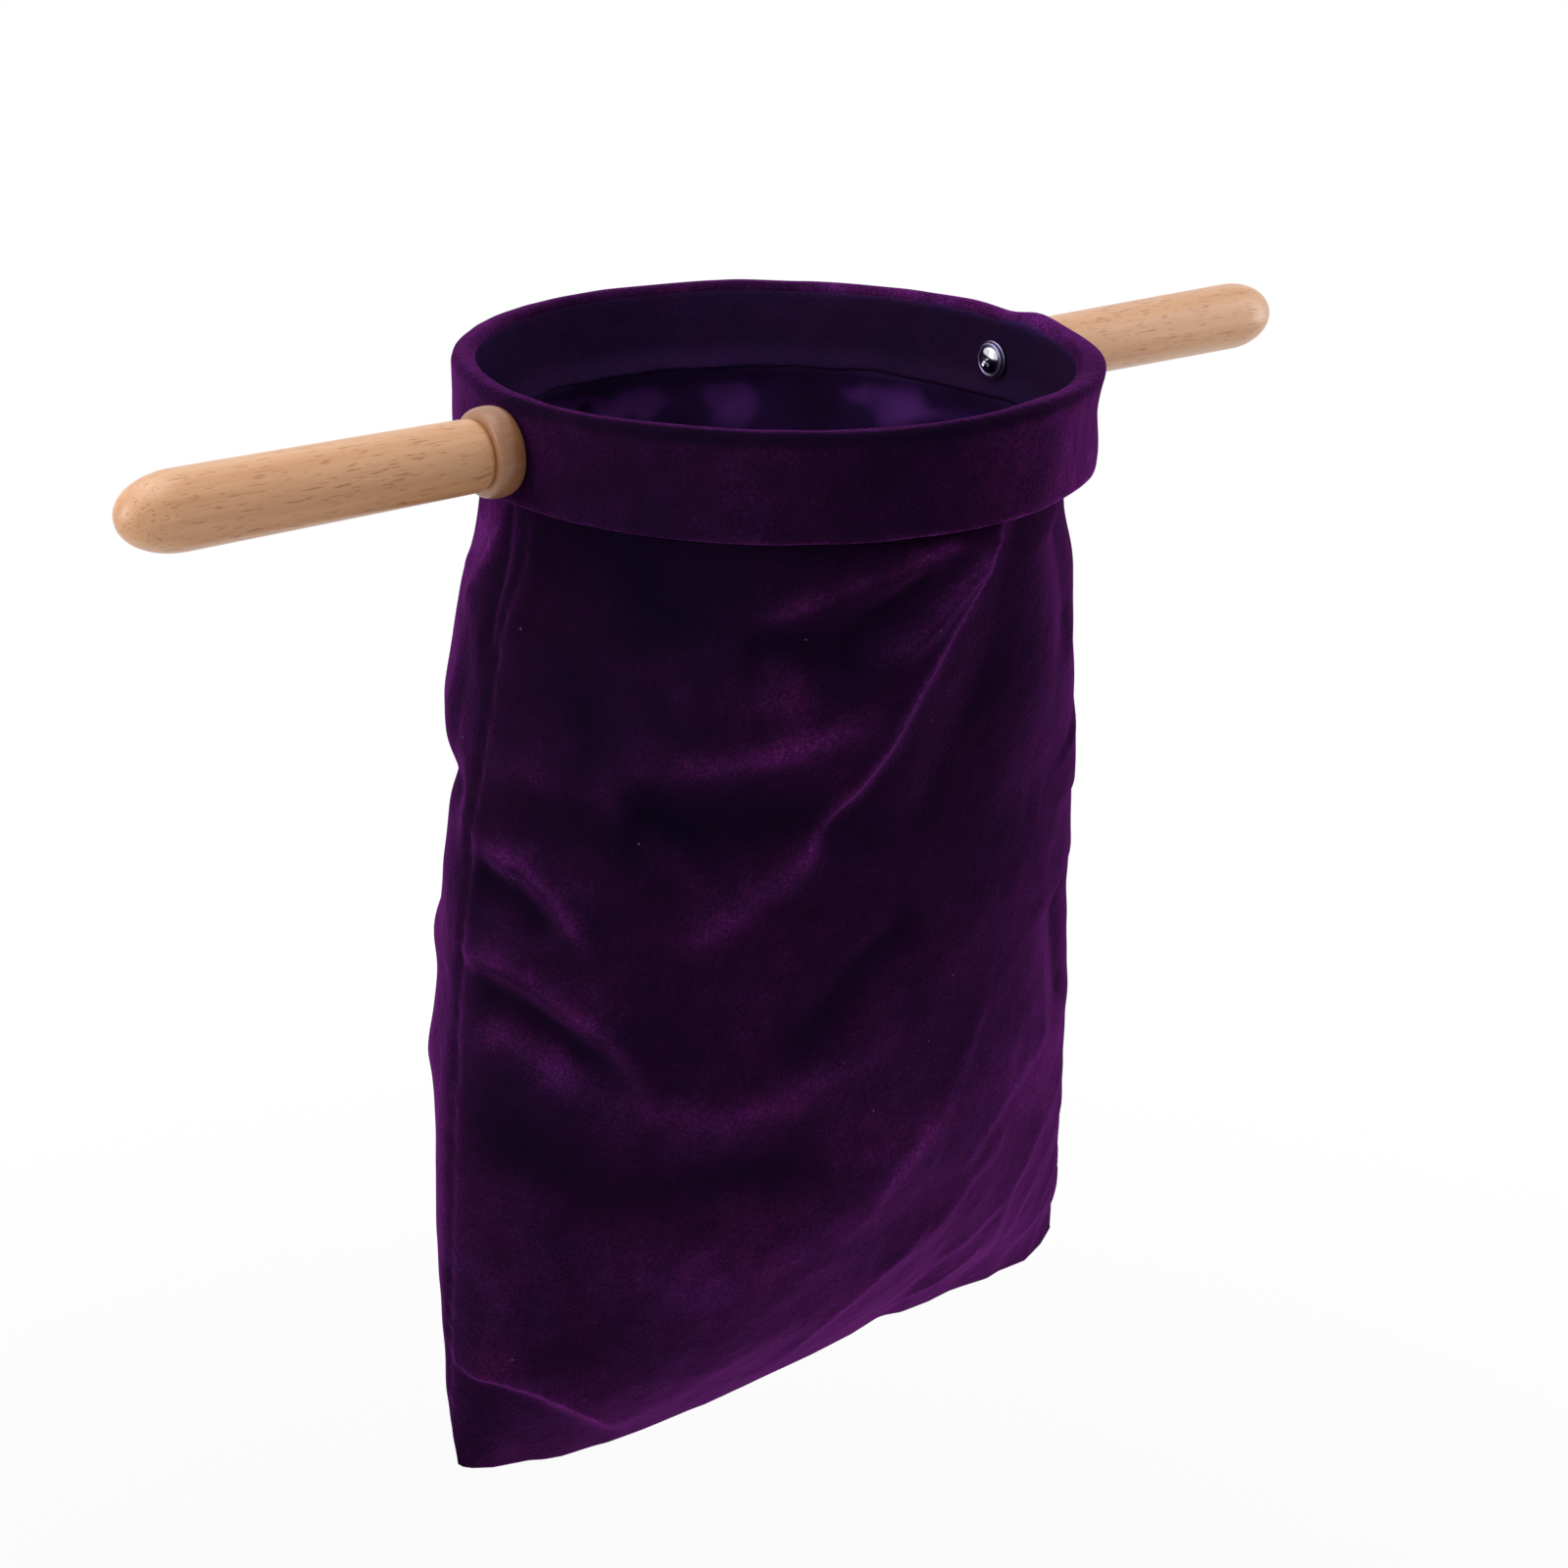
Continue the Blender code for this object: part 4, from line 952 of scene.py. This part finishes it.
def buildBand():
    loop = bandLoop()
    count = len(loop)
    steps = band["steps"]
    middle = bandRadius - band["wall"] * mm / 2
    verts = bandVerts(loop, middle)
    faces = []
    for k in range(steps):
        ring, nextRing = k * count, ((k + 1) % steps) * count
        for i in range(count):
            j = (i + 1) % count
            faces.append((ring + i, ring + j, nextRing + j, nextRing + i))
    made = meshObject("velvetBand", verts, faces, velvet)
    # the band's inside takes the shaded copy of the velvet
    made.data.materials.append(velvetShadedCopy)
    paint(made, "paintedShading", bandPaintedShading(np.array(verts), middle))
    fixNormals(made)
    deep, fromBottom, fromTop = (length * mm for length in band["insideReach"])
    inner = bandRadius - band["wall"] * mm
    inside = [
        radius < inner + deep and bandBottom + fromBottom < z < bandTop - fromTop for radius, z in loop
    ]
    for face in made.data.polygons:
        face.material_index = int(inside[face.index % count])
    return thicken(made, band["cloth"])


def fixNormals(made):
    shape = bmesh.new()
    shape.from_mesh(made.data)
    bmesh.ops.recalc_face_normals(shape, faces=shape.faces)
    shape.to_mesh(made.data)
    shape.free()


def turned(name, profile, steps, material, closed=False):
    # a lathe: (radius, height) pairs in millimetres turned about local Z
    verts = []
    rings = []
    for radius, height in profile:
        if radius < 1e-6:
            rings.append([len(verts)] * steps)
            verts.append((0, 0, height * mm))
        else:
            rings.append(list(range(len(verts), len(verts) + steps)))
            for k in range(steps):
                angle = math.tau * k / steps
                verts.append((radius * mm * math.cos(angle), radius * mm * math.sin(angle), height * mm))
    pairs = list(zip(rings, rings[1:]))
    if closed:
        pairs.append((rings[-1], rings[0]))
    faces = []
    for upper, lower in pairs:
        for k in range(steps):
            j = (k + 1) % steps
            corners = []
            for index in (upper[k], lower[k], lower[j], upper[j]):
                if index not in corners:
                    corners.append(index)
            if len(corners) > 2:
                faces.append(corners)
    made = meshObject(name, verts, faces, material)
    fixNormals(made)
    made.data.set_sharp_from_angle(angle=math.radians(40))
    return made


def placeOnAxis(made, side, seat, roll=0.0):
    # local Z points outwards along the handles' axis
    turn = Matrix.Rotation(math.radians(90) * side, 4, "Y") @ Matrix.Rotation(roll, 4, "Z")
    made.matrix_world = Matrix.Translation((side * seat, 0, handleHeight)) @ turn


# Turned handle, in millimetres outwards from the flat face at the band
handle = {
    "length": 140.0,
    "face": 13.0,
    "faceEdge": 0.5,  # the flat face stops this far inside the bead's curve
    "bead": 15.5,
    "beadLength": 10.5,
    "beadPower": 0.8,  # under 1 is fuller than a half circle, and so for the dome
    "groove": 11.4,
    "neck": [(0.02, 2.6), (0.25, 1.3), (0.65, 0.5)],  # below the root's radius, beyond the bead
    "neckEnd": 4.5,
    "root": 12.3,
    "swell": 0.7,  # how soon the grip reaches its full girth
    "grip": 13.1,
    "dome": 21.0,
    "domePower": 0.92,
    "bore": 4.8,
    "boreDepth": 18.0,
    "borePoint": 2.0,  # the drill's cone
    "steps": 96,
    "rolls": {"left": 2.1, "right": 0.6},  # how the grain is turned on each side
}


def handleProfile():
    h = handle
    shoulder = h["length"] - h["dome"]
    profile = [(0.0, h["length"])]
    for angle in np.radians(np.linspace(90, 0, 22))[1:]:
        radius = h["grip"] * math.cos(angle) ** h["domePower"]
        profile.append((radius, shoulder + h["dome"] * math.sin(angle)))
    for z in np.linspace(shoulder, h["beadLength"] + h["neckEnd"], 16)[1:]:
        share = (z - h["beadLength"]) / (shoulder - h["beadLength"])
        profile.append((h["root"] + (h["grip"] - h["root"]) * share ** h["swell"], z))
    profile += [(h["root"] - below, h["beadLength"] + beyond) for below, beyond in h["neck"]]
    profile += [(h["groove"], h["beadLength"])]
    half = h["beadLength"] / 2
    for angle in np.radians(np.linspace(78, -86, 20)):
        out = (h["bead"] - h["face"]) * math.cos(angle) ** h["beadPower"]
        profile.append((h["face"] + out, half + half * math.sin(angle)))
    profile += [(h["face"] - h["faceEdge"], 0.0), (h["bore"], 0.0), (h["bore"], h["boreDepth"])]
    profile += [(0.0, h["boreDepth"] + h["borePoint"])]
    return profile


# Cross-head screw with a low dome and a thin flange, in millimetres outwards from under its head
screw = {
    "shank": 3.0,
    "point": 0.6,
    "length": 25.0,
    "pitch": 1.0,
    "threadDeep": 0.45,
    "plain": 3.0,  # the part of the shank without thread
    "head": 6.5,
    "height": 3.0,
    "underEdge": [(0.1, 0.0), (0.0, 0.12), (0.0, 0.45)],  # inwards from the head's edge, and up the head
    "flangeRound": 0.55,
    "flangeHigh": 0.5,
    "groove": (1.15, 0.42),  # between the flange and the dome
    "domeEdge": 1.25,
    "recess": 3.3,
    "slot": 1.15,
    "depth": 1.7,
    "crossFloor": (0.45, 0.35),  # shares of the recess and the slot, at the cross's floor
    "crossMouth": (1.05, 0.62),  # and above the dome
    "reflectionTintFrom": 1.1,  # the flange outside this is violet-grey steel, a painted reflection, inwards from the head's edge
    "roll": 0.7,
    "steps": 64,
}

washer = {"radius": 7.25, "hole": 3.3, "thick": 1.0, "edge": 0.2}


def screwProfile():
    s = screw
    profile = [(0.0, s["length"]), (s["shank"] - s["point"], s["length"])]
    profile += [(s["shank"], s["length"] - s["point"])]
    turns = int((s["length"] - s["plain"]) / s["pitch"])
    for k in range(turns):
        z = s["length"] - (k + 1) * s["pitch"]
        profile += [(s["shank"], z), (s["shank"] - s["threadDeep"], z - s["pitch"] / 2)]
    profile += [(s["shank"], s["length"] - (turns + 1) * s["pitch"]), (s["shank"], 0.0)]
    profile += [(s["head"] - inwards, -up) for inwards, up in s["underEdge"]]
    for angle in np.radians(np.linspace(15, 165, 9)):  # the flange's rolled edge
        radius = s["head"] - s["flangeRound"] * (1 - math.cos(angle))
        profile.append((radius, -s["flangeHigh"] * (1 + math.sin(angle))))
    profile += [(s["head"] - s["groove"][0], -s["groove"][1])]
    reach = s["head"] - s["domeEdge"]
    rise = s["height"] - s["flangeHigh"]
    for angle in np.radians(np.linspace(4, 90, 14))[:-1]:
        profile.append((reach * math.cos(angle), -s["flangeHigh"] - rise * math.sin(angle)))
    profile += [(0.0, -s["height"])]
    return profile


def cutCross(made):
    # the driver's cross, narrowing to its floor
    shape = bmesh.new()
    floorHeight = screw["depth"] - screw["height"]
    mouthHeight = -screw["height"] - 1.0  # clear of the dome
    for turn in (0, 90):
        ends = []
        for (long, wide), z in ((screw["crossFloor"], floorHeight), (screw["crossMouth"], mouthHeight)):
            x, y = screw["recess"] * long * mm, screw["slot"] * wide * mm
            ends.append([
                shape.verts.new((sx * x, sy * y, z * mm)) for sx, sy in ((-1, -1), (1, -1), (1, 1), (-1, 1))
            ])
        bottom, top = ends
        faces = [bottom, top[::-1]]
        faces += [[bottom[k], top[k], top[(k + 1) % 4], bottom[(k + 1) % 4]] for k in range(4)]
        for corners in faces:
            shape.faces.new(corners)
        spin = Matrix.Rotation(math.radians(turn), 4, "Z")
        bmesh.ops.transform(shape, matrix=spin, verts=bottom + top)
    bmesh.ops.recalc_face_normals(shape, faces=shape.faces)
    mesh = bpy.data.meshes.new("crossCutter")
    shape.to_mesh(mesh)
    shape.free()
    cutWith(made, linkNew("crossCutter", mesh))


def cutWith(made, cutter):
    # an exact cut, applied at once so that no cutter is left in the file
    boolean = made.modifiers.new("cut", "BOOLEAN")
    boolean.operation = "DIFFERENCE"
    boolean.solver = "EXACT"
    boolean.use_self = True
    boolean.object = cutter
    bpy.context.view_layer.update()
    graph = bpy.context.evaluated_depsgraph_get()
    mesh = bpy.data.meshes.new_from_object(made.evaluated_get(graph))
    made.modifiers.remove(boolean)
    made.data = mesh
    bpy.data.objects.remove(cutter, do_unlink=True)


def washerProfile():
    w = washer
    out, hole, low, high = w["radius"], w["hole"], w["edge"], w["thick"] - w["edge"]
    outside = [(out - w["edge"], w["thick"]), (out, high), (out, low), (out - w["edge"], 0.0)]
    return outside + [(hole + w["edge"], 0.0), (hole, low), (hole, high), (hole + w["edge"], w["thick"])]


def buildSide(word, side):
    grip = turned(word + "Handle", handleProfile(), handle["steps"], beech)
    placeOnAxis(grip, side, handleSeat, roll=handle["rolls"][word])
    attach(grip, word + "_grip_body")
    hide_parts(word + "_handle")

    tip = max(abs(corner[0]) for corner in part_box(word + "_screw"))
    fixing = turned(word + "Screw", screwProfile(), screw["steps"], chrome)
    cutCross(fixing)
    fixing.data.set_sharp_from_angle(angle=math.radians(30))
    # the flange's violet-grey steel is a painted reflection of the velvet
    fixing.data.materials.append(tintedSteel)
    for face in fixing.data.polygons:
        if math.hypot(face.center.x, face.center.y) > (screw["head"] - screw["reflectionTintFrom"]) * mm:
            face.material_index = 1
    placeOnAxis(fixing, side, tip - screw["length"] * mm, roll=screw["roll"])
    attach(fixing, "rim")
    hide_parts(word + "_screw")

    seat = min(abs(corner[0]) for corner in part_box(word + "_washer"))
    ring = turned(word + "Washer", washerProfile(), screw["steps"], tintedSteel, closed=True)
    placeOnAxis(ring, side, seat)
    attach(ring, "rim")
    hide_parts(word + "_washer")


velvetPouch = buildVelvetPouch()
satinLining = buildLining()
for piece, front, back, slotName in (
    (velvetPouch, "front_panel", "back_panel", "velvet"),
    (satinLining, "front_lining", "back_lining", "satin"),
):
    fixNormals(piece)
    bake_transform(piece)
    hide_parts(front, back)
columns, rows = seamThread["columns"], seamThread["rows"]
half = columns // 2
seamPoints, _, seamOutward, _, _, _ = pouchSurface(columns, rows)
inner = (seamPoints - seamOutward * seamThread["inside"] * mm).reshape(rows + 1, columns, 3)
hemLine = (inner[-1, half + 3:columns - 2] + inner[-1, half - 3:2:-1]) / 2  # midway between front and back
hemLine[:, 2] += seamThread["hemRaise"] * mm
for name, node, path in (
    ("leftSeamThread", "left_seam_thread", inner[2:-3, half]),
    ("rightSeamThread", "right_seam_thread", inner[2:-3, 0]),
    ("bottomSeamThread", "bottom_seam_thread", hemLine),
):
    sewn = buildSeamThread(name, path)
    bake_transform(sewn)
    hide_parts(node)
print("offertory bag: pouch, lining and seams made")

velvetBand = buildBand()
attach(velvetBand, "rim")
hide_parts("rim_cover")
print("offertory bag: band made")

for word, side in (("left", -1), ("right", 1)):
    buildSide(word, side)
print("offertory bag: handles and fixings made")

finishes = {
    "hoop": plywood,
    "cover_seam_thread": thread,
    "left_insert": brass,
    "right_insert": brass,
}
for nodeName, finish in finishes.items():
    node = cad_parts[nodeName]
    node.data.materials.clear()
    node.data.materials.append(finish)

# Studio, in metres: a pale floor well below the bag, which hangs free, and three soft boxes
studio = {
    "floorDrop": 0.60,
    "floorSize": 12,
    "floorGrey": 0.9,
    "floorRoughness": 0.95,
    "shadowReach": (0.45, 1.5),  # the floor's shadow is full up to the first and gone by the second
    "shadowWhite": 0.82,  # how white the paper still is in the middle of the shadow
    "ambient": 0.44,
    "lensMm": 63.0,
    "sensorMm": 36.0,
    "cameraPlace": (-0.5985, -0.7489, 0.6635),
    "cameraTurn": 38.98,  # degrees
    "cameraTilt": 22.54,
    "cameraRoll": 1.11,
    "lampTarget": (0, 0, 0.28),
    # place, size, watts
    "lamps": {
        "softbox above": ((-0.5, 0.3, 1.9), (1.6, 1.6), 16),
        "softbox left": ((-1.9, 0.3, 0.9), (0.9, 1.5), 14),
        "softbox right": ((1.5, -0.6, 0.7), (0.7, 1.5), 9),
    },
}

camera = bpy.data.cameras.new("camera")
camera.lens = studio["lensMm"]
camera.sensor_width = studio["sensorMm"]
camera.clip_start = 0.01
cameraObject = linkNew("camera", camera)
cameraObject.matrix_world = (
    Matrix.Translation(studio["cameraPlace"])
    @ Matrix.Rotation(math.radians(-studio["cameraTurn"]), 4, "Z")
    @ Matrix.Rotation(math.radians(90 - studio["cameraTilt"]), 4, "X")
    @ Matrix.Rotation(math.radians(studio["cameraRoll"]), 4, "Z")
)
bpy.context.scene.camera = cameraObject

for name, (place, size, power) in studio["lamps"].items():
    lamp = bpy.data.lights.new(name, "AREA")
    lamp.shape = "RECTANGLE"
    lamp.size, lamp.size_y = size
    lamp.energy = power
    made = linkNew(name, lamp)
    made.location = place
    made.rotation_euler = (Vector(studio["lampTarget"]) - Vector(place)).to_track_quat("-Z", "Y").to_euler()

# The world is white where it is looked at, directly or in metal and glass, and soft light elsewhere
world = bpy.data.worlds.new("studio world")
bpy.context.scene.world = world
world.use_nodes = True
tree = world.node_tree
background = next(n for n in tree.nodes if n.type == "BACKGROUND")
rays = addNode(tree, "ShaderNodeLightPath").outputs
seen = rays["Is Camera Ray"]
for other in ("Is Glossy Ray", "Is Transmission Ray"):
    seen = addNode(tree, "ShaderNodeMath", {"operation": "MAXIMUM"}, _0=seen, _1=rays[other]).outputs[0]
strength = addNode(
    tree, "ShaderNodeMapRange", Value=seen, To_Min=studio["ambient"], To_Max=1.0,
).outputs[0]
background.inputs["Color"].default_value = (1, 1, 1, 1)
tree.links.new(strength, background.inputs["Strength"])


def floorMaterial():
    # matt white paper: its own white far out, and under the bag enough of its surface to keep the shadow
    material, tree, shader = newMaterial("paper, matt white")
    shader.inputs["Base Color"].default_value = [studio["floorGrey"]] * 3 + [1]
    shader.inputs["Roughness"].default_value = studio["floorRoughness"]
    glow = addNode(tree, "ShaderNodeEmission", Color=(1, 1, 1, 1), Strength=1.0).outputs[0]
    rays = addNode(tree, "ShaderNodeLightPath").outputs
    seen = addNode(
        tree, "ShaderNodeMath", {"operation": "MAXIMUM"}, _0=rays["Is Camera Ray"], _1=rays["Is Glossy Ray"],
    ).outputs[0]
    place = addNode(tree, "ShaderNodeTexCoord").outputs["Object"]
    away = addNode(tree, "ShaderNodeVectorMath", {"operation": "LENGTH"}, _0=place).outputs["Value"]
    full, gone = studio["shadowReach"]
    white = addNode(
        tree, "ShaderNodeMapRange", {"interpolation_type": "SMOOTHSTEP"}, Value=away,
        From_Min=full, From_Max=gone, To_Min=studio["shadowWhite"], To_Max=1.0,
    ).outputs[0]
    share = addNode(tree, "ShaderNodeMath", {"operation": "MULTIPLY"}, _0=seen, _1=white).outputs[0]
    mix = addNode(tree, "ShaderNodeMixShader", _0=share, _1=shader.outputs[0], _2=glow).outputs[0]
    output = next(n for n in tree.nodes if n.type == "OUTPUT_MATERIAL")
    tree.links.new(mix, output.inputs["Surface"])
    return material


bpy.ops.mesh.primitive_plane_add(size=studio["floorSize"], location=(0, 0, -studio["floorDrop"]))
floor = bpy.context.object
floor.name = "floor"
floor.data.materials.append(floorMaterial())

bpy.context.scene.view_settings.view_transform = "Standard"
print("offertory bag: studio made")

bpy.context.view_layer.update()
